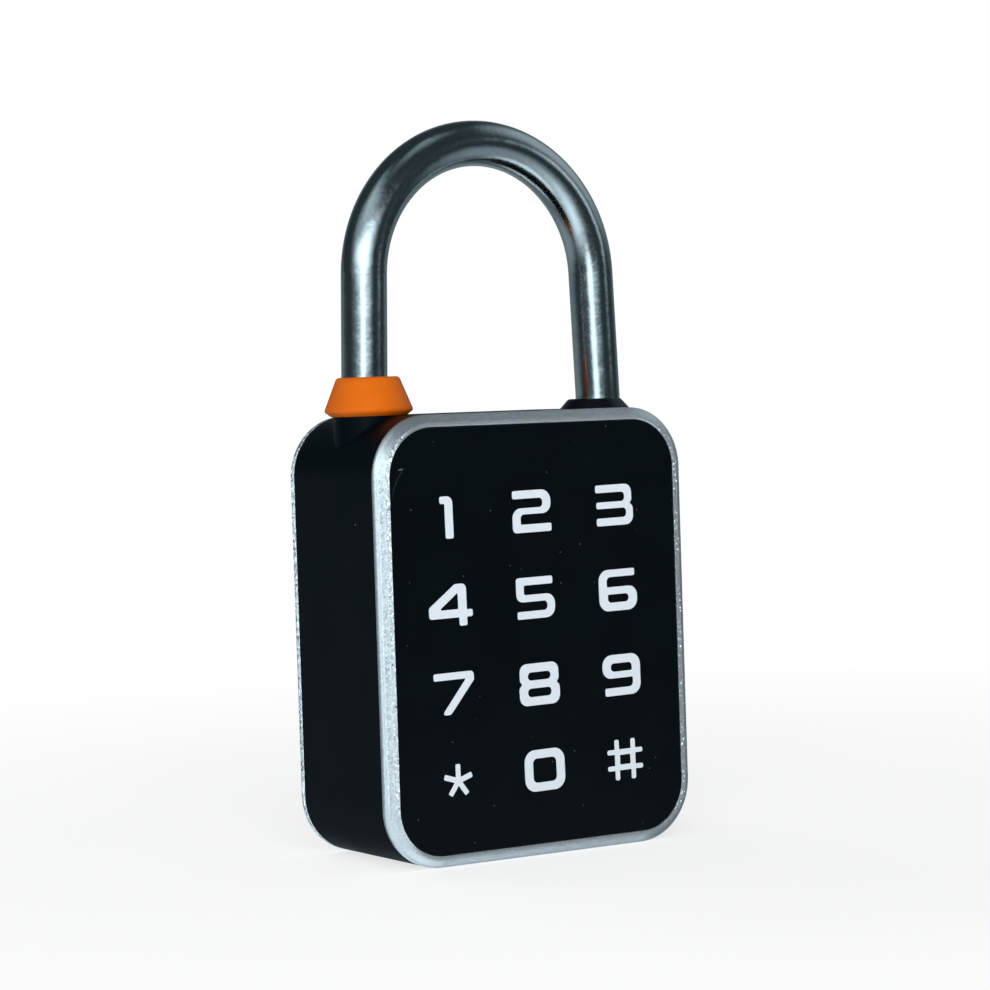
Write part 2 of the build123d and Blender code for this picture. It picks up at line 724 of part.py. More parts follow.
# Lock frame: holds the motor and guides the bolt; a flange at the rear screws to the web
chamber_end_x = follower_x + follower_thickness + chamber_gap
chamber_start_x = -cam_tip_radius - chamber_gap
chamber_rear_y = cam_tip_radius + 2 * fit_gap
motor_pocket_x = motor_width / 2 + running_gap
frame_pocket_y = frame_rear_y - frame_rear_wall
cover_screw_x = frame_half_width - cover_screw_inset
cover_screw_low_z = frame_low_z + cover_screw_inset
cover_screw_high_z = bolt_low_z - cover_screw_inset
cover_screw_points = [
    (x, z) for x in (-cover_screw_x, cover_screw_x) for z in (cover_screw_low_z, cover_screw_high_z)
]
with BuildPart() as lock_frame:
    extrude(frame_outline(frame_rear_y), amount=frame_rear_y - frame_front_wall_y)
    with BuildSketch(Plane.XZ.offset(-flange_rear_y)):
        with Locations((0, frame_top_z)):
            Rectangle(
                2 * (frame_half_width + frame_flange),
                frame_top_z - frame_low_z + frame_flange,
                align=(Align.CENTER, Align.MAX),
            )
    extrude(amount=frame_flange_thickness)
    # Motor pocket, room for the terminals, cam chamber and bolt channel, all open at the front
    front_y = frame_front_wall_y - cut_overrun
    pockets = [
        ((-motor_pocket_x, motor_pocket_x), (cap_low_z, gearbox_top_z), motor_depth / 2 + running_gap),
        (
            (-terminal_spacing, terminal_spacing),
            (cap_low_z - 2 * terminal_length, cap_low_z),
            motor_depth / 2,
        ),
        ((chamber_start_x, chamber_end_x), (gearbox_top_z, bolt_low_z), chamber_rear_y),
        (
            (-frame_half_width - cut_overrun, bolt_channel_end_x),
            (bolt_low_z - running_gap, bolt_high_z + running_gap),
            bolt_body_depth / 2 + running_gap,
        ),
    ]
    # Pockets that lighten the frame, one each side of the motor
    light_low_z = cover_screw_low_z + cover_screw_inset
    light_high_z = cover_screw_high_z - cover_screw_inset
    light_in_x = motor_pocket_x + frame_rib
    light_out_x = frame_half_width - frame_rib
    pockets.append(((light_in_x, light_out_x), (light_low_z, light_high_z), frame_pocket_y))
    pockets.append(((-light_out_x, -light_in_x), (light_low_z, light_high_z), frame_pocket_y))
    for x_range, z_range, deep_y in pockets:
        add(box_between(x_range, (front_y, deep_y), z_range), mode=Mode.SUBTRACT)
    with Locations(Plane((0, flange_rear_y, 0), x_dir=(-1, 0, 0), z_dir=(0, 1, 0))):
        for z in (frame_screw_low_z, frame_screw_high_z):
            with Locations((-frame_screw_x, z), (frame_screw_x, z)):
                CounterSinkHole(
                    frame_screw_radius, frame_screw_head_radius + running_gap, depth=frame_flange_thickness
                )
    with Locations(Plane((0, frame_front_wall_y, 0), x_dir=(1, 0, 0), z_dir=(0, -1, 0))):
        with Locations(*cover_screw_points):
            Hole(cover_screw_radius, depth=cover_screw_length)

# Frame cover: a steel plate over the motor, the cam and the bolt
with BuildPart() as frame_cover:
    extrude(frame_outline(frame_front_wall_y), amount=cover_thickness)
    with Locations(Plane((0, frame_front_wall_y - cover_thickness, 0), x_dir=(1, 0, 0), z_dir=(0, -1, 0))):
        with Locations(*cover_screw_points):
            Hole(cover_screw_radius, depth=cover_thickness)

# Frame screws: countersunk, from the rear into the web
frame_screw_head_height = frame_screw_head_radius - frame_screw_radius + running_gap
with BuildPart() as frame_screws:
    screw_points = [
        (x, z) for x in (-frame_screw_x, frame_screw_x) for z in (frame_screw_low_z, frame_screw_high_z)
    ]
    with BuildSketch(Plane.XZ.offset(-flange_rear_y)):
        with Locations(*screw_points):
            Circle(frame_screw_radius - running_gap)
    extrude(amount=frame_screw_length)
    head_middle_y = flange_rear_y - frame_screw_head_height / 2
    with Locations(Plane((0, head_middle_y, 0), x_dir=(1, 0, 0), z_dir=(0, -1, 0))):
        with Locations(*screw_points):
            Cone(frame_screw_head_radius, frame_screw_radius - running_gap, frame_screw_head_height)


def pan_screws(points, head_y, shank_radius, length, head_radius, head_height):
    """Flat-headed screws that point to the rear, with the underside of their heads at depth head_y."""
    with BuildPart(mode=Mode.PRIVATE) as screws:
        with BuildSketch(Plane.XZ.offset(-head_y - length)):
            with Locations(*points):
                Circle(shank_radius)
        extrude(amount=length)
        with BuildSketch(Plane.XZ.offset(-head_y)):
            with Locations(*points):
                Circle(head_radius)
        extrude(amount=head_height)
    return screws.part


with BuildPart() as cover_screws:
    add(
        pan_screws(
            cover_screw_points,
            frame_front_wall_y - cover_thickness,
            cover_screw_radius - running_gap,
            cover_screw_length,
            cover_screw_head_radius,
            cover_screw_head_height,
        )
    )

# Touch board: fills the bezel behind the glass, cut round the four lugs
with BuildPart() as touch_board:
    extrude(body_outline(touch_board_rear_y, opening_inset + fit_gap), amount=board_thickness)
    extrude(
        corner_circles(touch_board_rear_y, lug_radius + lug_clearance),
        amount=board_thickness,
        mode=Mode.SUBTRACT,
    )

with BuildPart() as touch_chip:
    add(
        box_between(
            (-touch_chip_size / 2, touch_chip_size / 2),
            (touch_board_rear_y, touch_board_rear_y + chip_height),
            (touch_chip_z - touch_chip_size / 2, touch_chip_z + touch_chip_size / 2),
        )
    )

# Main board: on four standoffs in front of the lock frame
board_points = [(x, z) for x in (-standoff_x, standoff_x) for z in (standoff_low_z, standoff_high_z)]
with BuildPart() as main_board:
    add(
        box_between(
            (-main_board_half_width, main_board_half_width),
            (board_front_y, board_rear_y),
            (main_board_low_z, main_board_high_z),
        )
    )
    with Locations(Plane((0, board_front_y, 0), x_dir=(1, 0, 0), z_dir=(0, -1, 0))):
        with Locations(*board_points):
            Hole(board_screw_radius, depth=board_thickness)

with BuildPart() as board_screws:
    add(
        pan_screws(
            board_points,
            board_front_y,
            board_screw_radius - running_gap,
            board_screw_length,
            board_screw_head_radius,
            board_screw_head_height,
        )
    )

with BuildPart() as control_chip:
    add(
        box_between(
            (-chip_size / 2, chip_size / 2),
            (board_front_y - chip_height, board_front_y),
            (chip_z - chip_size / 2, chip_z + chip_size / 2),
        )
    )

with BuildPart() as buzzer:
    with BuildSketch(Plane.XZ.offset(-board_front_y)):
        with Locations((buzzer_x, buzzer_z)):
            Circle(buzzer_radius)
    extrude(amount=buzzer_height)
    buzzer_front = (buzzer_x, board_front_y - buzzer_height, buzzer_z)
    with Locations(Plane(buzzer_front, x_dir=(1, 0, 0), z_dir=(0, -1, 0))):
        Hole(buzzer_hole_radius, depth=buzzer_height / 2)

# Ribbon cable: a flat strip in a U between two sockets that open downwards
ribbon_touch_y = touch_board_rear_y + ribbon_socket_depth / 2
ribbon_main_y = board_front_y - ribbon_socket_depth / 2
ribbon_bend_radius = (ribbon_main_y - ribbon_touch_y) / 2
ribbon_start_z = ribbon_socket_z - ribbon_socket_height / 2
ribbon_bend_z = ribbon_start_z - ribbon_drop
with BuildPart() as ribbon_sockets:
    for y in (touch_board_rear_y, board_front_y - ribbon_socket_depth):
        add(
            box_between(
                (ribbon_x - ribbon_socket_width / 2, ribbon_x + ribbon_socket_width / 2),
                (y, y + ribbon_socket_depth),
                (ribbon_start_z, ribbon_start_z + ribbon_socket_height),
            )
        )

with BuildPart() as ribbon_cable:
    with BuildSketch(Plane.YZ.offset(ribbon_x - ribbon_width / 2)):
        with Locations(((ribbon_touch_y + ribbon_main_y) / 2, ribbon_bend_z)):
            Circle(ribbon_bend_radius + ribbon_thickness / 2)
            Circle(ribbon_bend_radius - ribbon_thickness / 2, mode=Mode.SUBTRACT)
            Rectangle(
                4 * ribbon_bend_radius,
                2 * ribbon_bend_radius,
                align=(Align.CENTER, Align.MIN),
                mode=Mode.SUBTRACT,
            )
        with Locations((ribbon_touch_y, ribbon_bend_z), (ribbon_main_y, ribbon_bend_z)):
            Rectangle(ribbon_thickness, ribbon_drop, align=(Align.CENTER, Align.MIN))
    extrude(amount=ribbon_width)

# Charging socket: a steel shell with a closed back, and the tongue inside it
socket_top_z = socket_low_z + socket_length
with BuildPart() as charge_socket:
    extrude(slot_outline(socket_low_z, socket_width, socket_height), amount=socket_length)
    extrude(
        slot_outline(socket_low_z, socket_width - 2 * socket_shell, socket_height - 2 * socket_shell),
        amount=socket_length - socket_back,
        mode=Mode.SUBTRACT,
    )

with BuildPart() as socket_tongue:
    add(
        box_between(
            (-tongue_width / 2, tongue_width / 2),
            (socket_y - tongue_thickness / 2, socket_y + tongue_thickness / 2),
            (socket_top_z - socket_back - tongue_length, socket_top_z - socket_back),
        )
    )

# Port plug: a soft flange in its seat with a stem in the slot, and a nick to lift it by
with BuildPart() as port_plug:
    extrude(
        slot_outline(plug_recess, plug_flange_width - 2 * fit_gap, plug_flange_height - 2 * fit_gap),
        amount=plug_flange_thickness,
    )
    stem_gap = 2 * (port_margin - fit_gap)
    extrude(
        slot_outline(plug_recess, socket_width + stem_gap, socket_height + stem_gap),
        amount=casing_wall - plug_recess,
    )
    with Locations((plug_flange_width / 2, socket_y, plug_recess)):
        Sphere(plug_nick_radius, mode=Mode.SUBTRACT)

# Battery cell, and the foam pad that holds it against the lock frame
with BuildPart() as battery_cell:
    add(
        box_between(
            (-battery_width / 2, battery_width / 2),
            (battery_front_y, battery_rear_y),
            (battery_bottom, battery_top_z),
        )
    )
    fillet(battery_cell.edges(), battery_round)

pad_half_width = battery_width / 2 - pad_side_inset
with BuildPart() as battery_pad:
    add(
        box_between(
            (-pad_half_width, pad_half_width),
            (battery_rear_y, pocket_floor_y),
            (battery_bottom + pad_end_inset, battery_top_z - pad_end_inset),
        )
    )

# Every piece goes to its own file
pieces = {
    "casing": casing,
    "front_bezel": front_bezel,
    "rear_bezel": rear_bezel,
    "touch_panel": touch_panel,
    "rear_panel": rear_panel,
    "front_gasket": front_gasket,
    "rear_gasket": rear_gasket,
    "front_screws": front_screws,
    "rear_screws": rear_screws,
    "shackle": shackle,
    "toe_seal": toe_seal,
    "heel_seal": heel_seal,
    "latch_bolt": latch_bolt,
    "bolt_spring": bolt_spring,
    "shackle_spring": shackle_spring,
    "retaining_pin": retaining_pin,
    "drive_cam": drive_cam,
    "output_shaft": output_shaft,
    "gearbox": gearbox,
    "motor_can": motor_can,
    "motor_cap": motor_cap,
    "lock_frame": lock_frame,
    "frame_cover": frame_cover,
    "frame_screws": frame_screws,
    "cover_screws": cover_screws,
    "touch_board": touch_board,
    "touch_chip": touch_chip,
    "main_board": main_board,
    "board_screws": board_screws,
    "control_chip": control_chip,
    "buzzer": buzzer,
    "ribbon_sockets": ribbon_sockets,
    "ribbon_cable": ribbon_cable,
    "charge_socket": charge_socket,
    "socket_tongue": socket_tongue,
    "port_plug": port_plug,
    "battery_cell": battery_cell,
    "battery_pad": battery_pad,
}
os.makedirs("parts", exist_ok=True)
for name, piece in pieces.items():
    piece.part.label = name
    export_step(piece.part, f"parts/{name}.step")

shackle_gap = least_gap(
    shackle_spring_line_radius, shackle_spring_pitch, shackle_spring_wire, shackle_spring_turns
)
bolt_gap = least_gap(bolt_spring_line_radius, bolt_spring_pitch, bolt_spring_wire, bolt_spring_turns)
print(f"least gap in the shackle spring {shackle_gap:.2f} mm, in the bolt spring {bolt_gap:.2f} mm")
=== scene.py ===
import math

import bmesh
import bpy
from bpy.props import FloatProperty, FloatVectorProperty, PointerProperty
from mathutils import Matrix, Vector


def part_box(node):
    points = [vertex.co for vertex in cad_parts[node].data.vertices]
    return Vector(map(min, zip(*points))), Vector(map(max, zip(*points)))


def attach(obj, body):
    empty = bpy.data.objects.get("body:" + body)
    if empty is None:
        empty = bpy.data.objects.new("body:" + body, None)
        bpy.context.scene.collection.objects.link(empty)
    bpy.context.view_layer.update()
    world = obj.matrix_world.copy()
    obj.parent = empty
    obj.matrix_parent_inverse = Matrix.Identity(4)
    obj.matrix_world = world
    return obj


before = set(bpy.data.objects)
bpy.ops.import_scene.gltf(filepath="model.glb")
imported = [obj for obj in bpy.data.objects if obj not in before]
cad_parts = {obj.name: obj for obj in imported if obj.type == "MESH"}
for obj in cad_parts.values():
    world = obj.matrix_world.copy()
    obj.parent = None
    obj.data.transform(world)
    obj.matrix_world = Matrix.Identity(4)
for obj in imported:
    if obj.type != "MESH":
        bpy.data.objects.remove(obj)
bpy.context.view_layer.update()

bl_info = {
    "name": "Keypad padlock",
    "version": (1, 0, 0),
    "blender": (4, 5, 0),
    "location": "View3D > Sidebar > Padlock",
    "description": "Finishes the keypad padlock's pieces, prints its keys and sets its studio",
    "category": "Object",
}

MM = 0.001
# the side of the photograph in pixels, and how far to the right the camera looks, in radians
FRAME, CAMERA_YAW = 990, 0.5689
# the point in the padlock that the lights aim at
MIDDLE = Vector((0, 0, 55 * MM))


def linear(colour):
    """Turns an sRGB hex colour into the linear numbers that Blender works with."""
    parts = [int(colour[i : i + 2], 16) / 255 for i in (1, 3, 5)]
    return tuple(c / 12.92 if c <= 0.04045 else ((c + 0.055) / 1.055) ** 2.4 for c in parts)


def add(tree, kind, inputs=None, **settings):
    """Adds a shader node with its settings; an input gets a value, or a link to another node's output."""
    made = tree.nodes.new("ShaderNode" + kind)
    for name, value in settings.items():
        setattr(made, name, value)
    for key, value in (inputs or {}).items():
        if isinstance(value, bpy.types.NodeSocket):
            tree.links.new(value, made.inputs[key])
        else:
            made.inputs[key].default_value = value
    return made


def per(size):
    """The texture scale that gives a pattern a real size in millimetres."""
    return 1 / (size * MM)


def tone(colour, factor=1.0):
    """A socket colour from a setting's three linear numbers, made lighter or darker by a factor."""
    return (*[min(1.0, c * factor) for c in colour], 1.0)


def new_finish(name):
    """An empty node material with its output, and the place of each point on the part in metres."""
    material = bpy.data.materials.new(name)
    material.use_nodes = True
    tree = material.node_tree
    tree.nodes.clear()
    output = add(tree, "OutputMaterial")
    place = add(tree, "TexCoord").outputs["Object"]
    return material, tree, output, place


def dress(names, material):
    """Gives the CAD nodes of these names the material in their own slots."""
    for name in names:
        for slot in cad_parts[name].material_slots:
            slot.material = material


def grained(name, colour, metallic, roughness, grain, relief, shade=0.12, stretch=(1, 1, 1), coat=0.0,
            specular=0.5):
    """A finish whose grain, in millimetres, shades the colour, varies the gloss and stands up by relief."""
    material, tree, output, place = new_finish(name)
    run = add(tree, "Mapping", {"Vector": place, "Scale": stretch}).outputs["Vector"]
    fine = add(tree, "TexNoise", {"Vector": run, "Scale": per(grain), "Detail": 3.0}).outputs["Fac"]
    broad = add(tree, "TexNoise", {"Vector": run, "Scale": 0.07 * per(grain), "Detail": 2.0}).outputs["Fac"]
    mixed = add(tree, "Math", {0: fine, 1: broad}, operation="ADD").outputs[0]
    amount = add(tree, "MapRange", {"Value": mixed, "From Min": 0.7, "From Max": 1.3}).outputs[0]
    shades = add(tree, "Mix", {0: amount, 6: tone(colour, 1 - shade), 7: tone(colour, 1 + shade)},
                 data_type="RGBA")
    gloss = add(tree, "MapRange", {"Value": broad, "From Min": 0.3, "From Max": 0.7,
                                   "To Min": roughness * 0.85, "To Max": roughness * 1.15})
    bump = add(tree, "Bump", {"Strength": 1.0, "Distance": relief * MM, "Height": fine})
    shader = add(tree, "BsdfPrincipled", {
        "Base Color": shades.outputs[2], "Metallic": metallic, "Roughness": gloss.outputs[0],
        "Normal": bump.outputs[0], "Coat Weight": coat, "Specular IOR Level": specular})
    tree.links.new(shader.outputs[0], output.inputs["Surface"])
    return material


def dust_on(tree, place, spacing, size):
    """A mask of settled dust specks: a few white dots of a size, some spacing apart, in millimetres."""
    cells = add(tree, "TexVoronoi", {"Vector": place, "Scale": per(spacing)})
    return add(tree, "MapRange", {"Value": cells.outputs["Distance"], "From Min": size / spacing,
                                  "From Max": 0.6 * size / spacing}).outputs[0]


class PadlockFinishes(bpy.types.PropertyGroup):
    """The colours of the padlock's finishes."""
    casing: FloatVectorProperty(name="Casing", description="Matt black coating on the cast casing",
                                subtype="COLOR", default=linear("#050E13"), min=0, max=1)
    bezel: FloatVectorProperty(name="Bezels", description="Sparkling silver coating on the two bezels",
                               subtype="COLOR", default=linear("#EAEDF2"), min=0, max=1)
    glass: FloatVectorProperty(name="Touch panel", description="Black print behind the cover glass",
                               subtype="COLOR", default=linear("#060C10"), min=0, max=1)
    steel: FloatVectorProperty(name="Shackle", description="Bright plated steel of the shackle",
                               subtype="COLOR", default=linear("#C6CDD1"), min=0, max=1)
    orange: FloatVectorProperty(name="Toe seal", description="Orange silicone rubber",
                                subtype="COLOR", default=linear("#EA700A"), min=0, max=1)
    rubber: FloatVectorProperty(name="Black seals", description="Black rubber of the heel seal and port plug",
                                subtype="COLOR", default=linear("#0A0B10"), min=0, max=1)
    ink: FloatVectorProperty(name="Key print", description="White ink of the key signs",
                             subtype="COLOR", default=linear("#EBF5FF"), min=0, max=1)


class PadlockKeys(bpy.types.PropertyGroup):
    """The sizes of the key print."""
    column_pitch: FloatProperty(name="Column pitch", description="Distance between key columns, in metres",
                                unit="LENGTH", default=15.2 * MM, min=5 * MM, max=20 * MM)
    row_pitch: FloatProperty(name="Row pitch", description="Distance between key rows, in metres",
                             unit="LENGTH", default=13.12 * MM, min=5 * MM, max=20 * MM)
    middle_x: FloatProperty(name="Middle", description="Sideways place of the middle column, in metres",
                            unit="LENGTH", default=-0.47 * MM, min=-5 * MM, max=5 * MM)
    middle_z: FloatProperty(name="Height", description="Height of the middle of the whole print, in metres",
                            unit="LENGTH", default=32.68 * MM, min=10 * MM, max=60 * MM)
    turn: FloatProperty(name="Turn", description="Turn of the whole print on the panel",
                        subtype="ANGLE", default=math.radians(-0.85), min=-0.2, max=0.2)
    ink_height: FloatProperty(name="Ink height", description="How far ink stands off the glass, in metres",
                              unit="LENGTH", default=0.03 * MM, min=0.005 * MM, max=0.1 * MM)


class PadlockStudio(bpy.types.PropertyGroup):
    """The studio's light and floor."""
    key_level: FloatProperty(name="Key light", description="Brightness of the light behind the camera",
                             default=4.8, min=0, max=10)
    back_level: FloatProperty(name="Back light", description="Brightness of the light behind the padlock",
                              default=1.6, min=0, max=10)
    ambient: FloatProperty(name="Ambient", description="Brightness of the light from all round",
                           default=0.23, min=0, max=2)
    floor: FloatVectorProperty(name="Floor", description="Pale floor of the studio",
                               subtype="COLOR", default=linear("#F0F1F2"), min=0, max=1)


class PADLOCK_OT_studio(bpy.types.Operator):
    """Sets the camera, the pale floor, the soft lights and the dark tent that the bright steel mirrors"""
    bl_idname = "padlock.studio"
    bl_label = "Studio"

    def execute(self, context):
        studio = context.scene.padlock_studio
        self.place_camera(context)
        self.lay_floor(context, studio)
        self.light_world(context, studio)
        # the two lights stand a metre off, behind the camera and behind the padlock
        self.hang_light(context, "key_light", toward=(-0.50, -0.86, 0.16), size=(0.86, 0.80),
                        level=studio.key_level)
        self.hang_light(context, "back_light", toward=(-0.30, 0.85, 0.55), size=(0.7, 0.5),
                        level=studio.back_level)
        self.raise_tent(context)
        context.scene.view_settings.view_transform = "Standard"
        return {"FINISHED"}

    def place_camera(self, context):
        """Puts the camera where the photograph was taken from, as fitted to the padlock's edges."""
        place = Vector((-252.538, -397.2431, 70.6676)) * MM
        yaw, pitch, roll, focal_pixels = CAMERA_YAW, -0.0342, 0.0326, 3036.30
        ahead = Vector((math.sin(yaw) * math.cos(pitch), math.cos(yaw) * math.cos(pitch), math.sin(pitch)))
        level = Vector((math.cos(yaw), -math.sin(yaw), 0))
        down = ahead.cross(level)
        right = math.cos(roll) * level + math.sin(roll) * down
        below = math.cos(roll) * down - math.sin(roll) * level
        data = bpy.data.cameras.new("camera")
        data.sensor_fit = "HORIZONTAL"
        data.sensor_width = 36.0
        data.lens = focal_pixels / FRAME * data.sensor_width
        data.clip_start, data.clip_end = 0.01, 50.0
        camera = bpy.data.objects.new("camera", data)
        context.scene.collection.objects.link(camera)
        turn = Matrix((right, -below, -ahead)).transposed()
        camera.matrix_world = Matrix.Translation(place) @ turn.to_4x4()
        context.scene.camera = camera

    def lay_floor(self, context, studio):
        """Lays a pale floor that shows white further off and keeps the padlock's soft shadow near it."""
        half, below = 3.0, 0.05 * MM
        mesh = bpy.data.meshes.new("floor")
        corners = [(-half, -half, 0), (half, -half, 0), (half, half, 0), (-half, half, 0)]
        mesh.from_pydata(corners, [], [(0, 1, 2, 3)])
        floor = bpy.data.objects.new("floor", mesh)
        floor.location.z = -below
        context.scene.collection.objects.link(floor)
        # painted board, rolled matt: even and pale, with a faint mottle
        material, tree, output, place = new_finish("painted_board_rolled_matt")
        mottle = add(tree, "TexNoise", {"Vector": place, "Scale": per(40)}).outputs["Fac"]
        shade = add(tree, "Mix", {0: mottle, 6: tone(studio.floor, 0.98), 7: tone(studio.floor)},
                    data_type="RGBA").outputs[2]
        matt = add(tree, "BsdfDiffuse", {"Color": shade})
        # to the eye the lit board is white and only the padlock's shadow darkens it
        faint = add(tree, "Mix", {0: 0.5, 6: shade, 7: (0, 0, 0, 1)}, data_type="RGBA").outputs[2]
        shaded = add(tree, "BsdfDiffuse", {"Color": faint})
        white = add(tree, "Emission", {"Color": (1, 1, 1, 1), "Strength": 0.72})
        near = add(tree, "AddShader", {0: shaded.outputs[0], 1: white.outputs[0]}).outputs[0]
        far = add(tree, "VectorMath", {0: place}, operation="LENGTH").outputs["Value"]
        fade = add(tree, "MapRange", {"Value": far, "From Min": 0.08, "From Max": 0.3}).outputs[0]
        plain = add(tree, "Emission", {"Color": (1, 1, 1, 1), "Strength": 1.0})
        looks = add(tree, "MixShader", {0: fade, 1: near, 2: plain.outputs[0]}).outputs[0]
        mixed = add(tree, "MixShader", {0: seen_directly(tree), 1: matt.outputs[0], 2: looks})
        tree.links.new(mixed.outputs[0], output.inputs["Surface"])
        mesh.materials.append(material)
        floor.visible_glossy = False

    def light_world(self, context, studio):
        """White all round for the eye, and a plain ambient level for what it lights."""
        world = bpy.data.worlds.new("studio")
        world.use_nodes = True
        tree = world.node_tree
        tree.nodes.clear()
        ambient = add(tree, "Background", {"Color": (0.95, 0.98, 1, 1), "Strength": studio.ambient})
        white = add(tree, "Background", {"Color": (1, 1, 1, 1), "Strength": 1.0})
        mixed = add(tree, "MixShader", {0: seen_directly(tree), 1: ambient.outputs[0], 2: white.outputs[0]})
        output = add(tree, "OutputWorld")
        tree.links.new(mixed.outputs[0], output.inputs["Surface"])
        context.scene.world = world

    def hang_light(self, context, name, toward, size, level):
        """Hangs a soft light in a direction from the padlock, as bright as its level wherever it is seen."""
        data = bpy.data.lights.new(name, "AREA")
        data.shape = "RECTANGLE"
        data.size, data.size_y = size
        data.energy = level * math.pi * size[0] * size[1]
        lamp = bpy.data.objects.new(name, data)
        context.scene.collection.objects.link(lamp)
        lamp.location = MIDDLE + Vector(toward).normalized()
        lamp.rotation_euler = (MIDDLE - lamp.location).to_track_quat("-Z", "Y").to_euler()
        # mirrors see this light as a soft patch of the tent
        lamp.visible_glossy = False

    def raise_tent(self, context):
        """Raises the dark studio round the padlock, which only mirror reflections see."""
        mesh = bpy.data.meshes.new("dark_tent")
        shell = bmesh.new()
        bmesh.ops.create_uvsphere(shell, u_segments=48, v_segments=24, radius=1.6)
        shell.to_mesh(mesh)
        shell.free()
        tent = bpy.data.objects.new("dark_tent", mesh)
        tent.location = MIDDLE
        context.scene.collection.objects.link(tent)
        # black cloth, woven: near black, with soft patches where the studio's lights shine through it
        material, tree, output, place = new_finish("black_cloth_woven")
        way = add(tree, "VectorMath", {0: place}, operation="NORMALIZE").outputs["Vector"]
        height = add(tree, "SeparateXYZ", {0: way}).outputs["Z"]
        rise = add(tree, "Math", {0: height}, operation="ARCSINE").outputs[0]
        across, back = math.cos(CAMERA_YAW), math.sin(CAMERA_YAW)
        # how far each way points to the camera's right, and how far towards the camera
        aside, toward = [add(tree, "VectorMath", {0: way, 1: axis}, operation="DOT_PRODUCT").outputs["Value"]
                         for axis in ((across, -back, 0), (-back, -across, 0))]
        around = add(tree, "Math", {0: aside, 1: toward}, operation="ARCTAN2").outputs[0]
        glow = 0.0
        for patch in TENT_PATCHES:
            shine = self.shine(tree, around, rise, *patch)
            glow = add(tree, "Math", {0: glow, 1: shine}, operation="ADD").outputs[0]
        cloth = add(tree, "Emission", {"Color": (0.027, 0.042, 0.048, 1), "Strength": 1.0})
        light = add(tree, "Emission", {"Color": (0.8, 0.95, 1.0, 1), "Strength": glow})
        lit = add(tree, "AddShader", {0: cloth.outputs[0], 1: light.outputs[0]})
        tree.links.new(lit.outputs[0], output.inputs["Surface"])
        material.cycles.emission_sampling = "NONE"
        mesh.materials.append(material)
        tent.visible_camera = tent.visible_diffuse = tent.visible_shadow = False
        tent.visible_transmission = tent.visible_volume_scatter = False

    def shine(self, tree, around, rise, middle, lift, wide, tall, tilt, core, level):
        """The brightness of one oval patch: full in its core and fading softly to its edge."""
        off = add(tree, "Math", {0: around, 1: math.radians(middle)}, operation="SUBTRACT").outputs[0]
        turn = add(tree, "Math", {0: off, 1: math.pi, 2: -math.pi}, operation="WRAP").outputs[0]
        above = add(tree, "Math", {0: rise, 1: math.radians(lift)}, operation="SUBTRACT").outputs[0]
        spot = add(tree, "CombineXYZ", {0: turn, 1: above}).outputs[0]
        oval = add(tree, "Mapping", {"Vector": spot, "Rotation": (0, 0, math.radians(tilt)),
                                     "Scale": (math.radians(wide), math.radians(tall), 1)},
                   vector_type="TEXTURE").outputs[0]
        out = add(tree, "VectorMath", {0: oval}, operation="LENGTH").outputs["Value"]
        return add(tree, "MapRange", {"Value": out, "From Min": 1.0, "From Max": core,
                                      "To Min": 0.0, "To Max": level},
                   interpolation_type="SMOOTHSTEP").outputs[0]


# Oval patches of light in the tent, in degrees as seen from the padlock: the middle, from the camera round to
# the photograph's right and from the horizon up, the half width and half height and the tilt, and then the
# share that is full core and the level
TENT_PATCHES = (
    (-5, 14, 60, 17, -5, 0.1, 2.6),        # the soft light behind the camera
    (-4, -3, 22, 13, 0, 0.15, 2.0),        # its lower part, seen past the table's edge
    (-18, 37, 68, 23, -31, 0.13, 0.6),     # its spill on the ceiling
    (-51, 33, 42, 33, -58, 0.0, 0.37),     # its spill on the left wall
    (118, 35, 49, 33, 0, 0.27, 0.47),      # the pale wall on the right
    (81, 13, 13, 17, 60, 0.0, 0.9),        # a gap in the cloth on the right
    (42, 78, 80, 29, 9, 0.0, 0.32),        # the ceiling overhead
    (-6, -32, 72, 30, -7, 0.0, 1.1),       # the soft light on the table
    (34, -43, 105, 39, 2, 0.43, 0.3),      # the table, lighter on the right
    (-107, -17, 64, 26, -19, 0.21, 0.31),  # the table's left end
    (-145, -36, 77, 27, -17, 0.42, 0.15),  # the table's far end
    (172, -4, 65, 48, 37, 0.53, 0.16),     # the far wall
    (0, -90, 2000, 40, 0, 0.6, 1.0),       # the pale floor just below
)


def seen_directly(tree):
    """1 for camera rays and for what a mirror or clear thing shows, 0 for light that falls on things."""
    rays = add(tree, "LightPath").outputs
    seen = rays["Is Camera Ray"]
    for kind in ("Is Glossy Ray", "Is Transmission Ray"):
        seen = add(tree, "Math", {0: seen, 1: rays[kind]}, operation="MAXIMUM").outputs[0]
    return seen


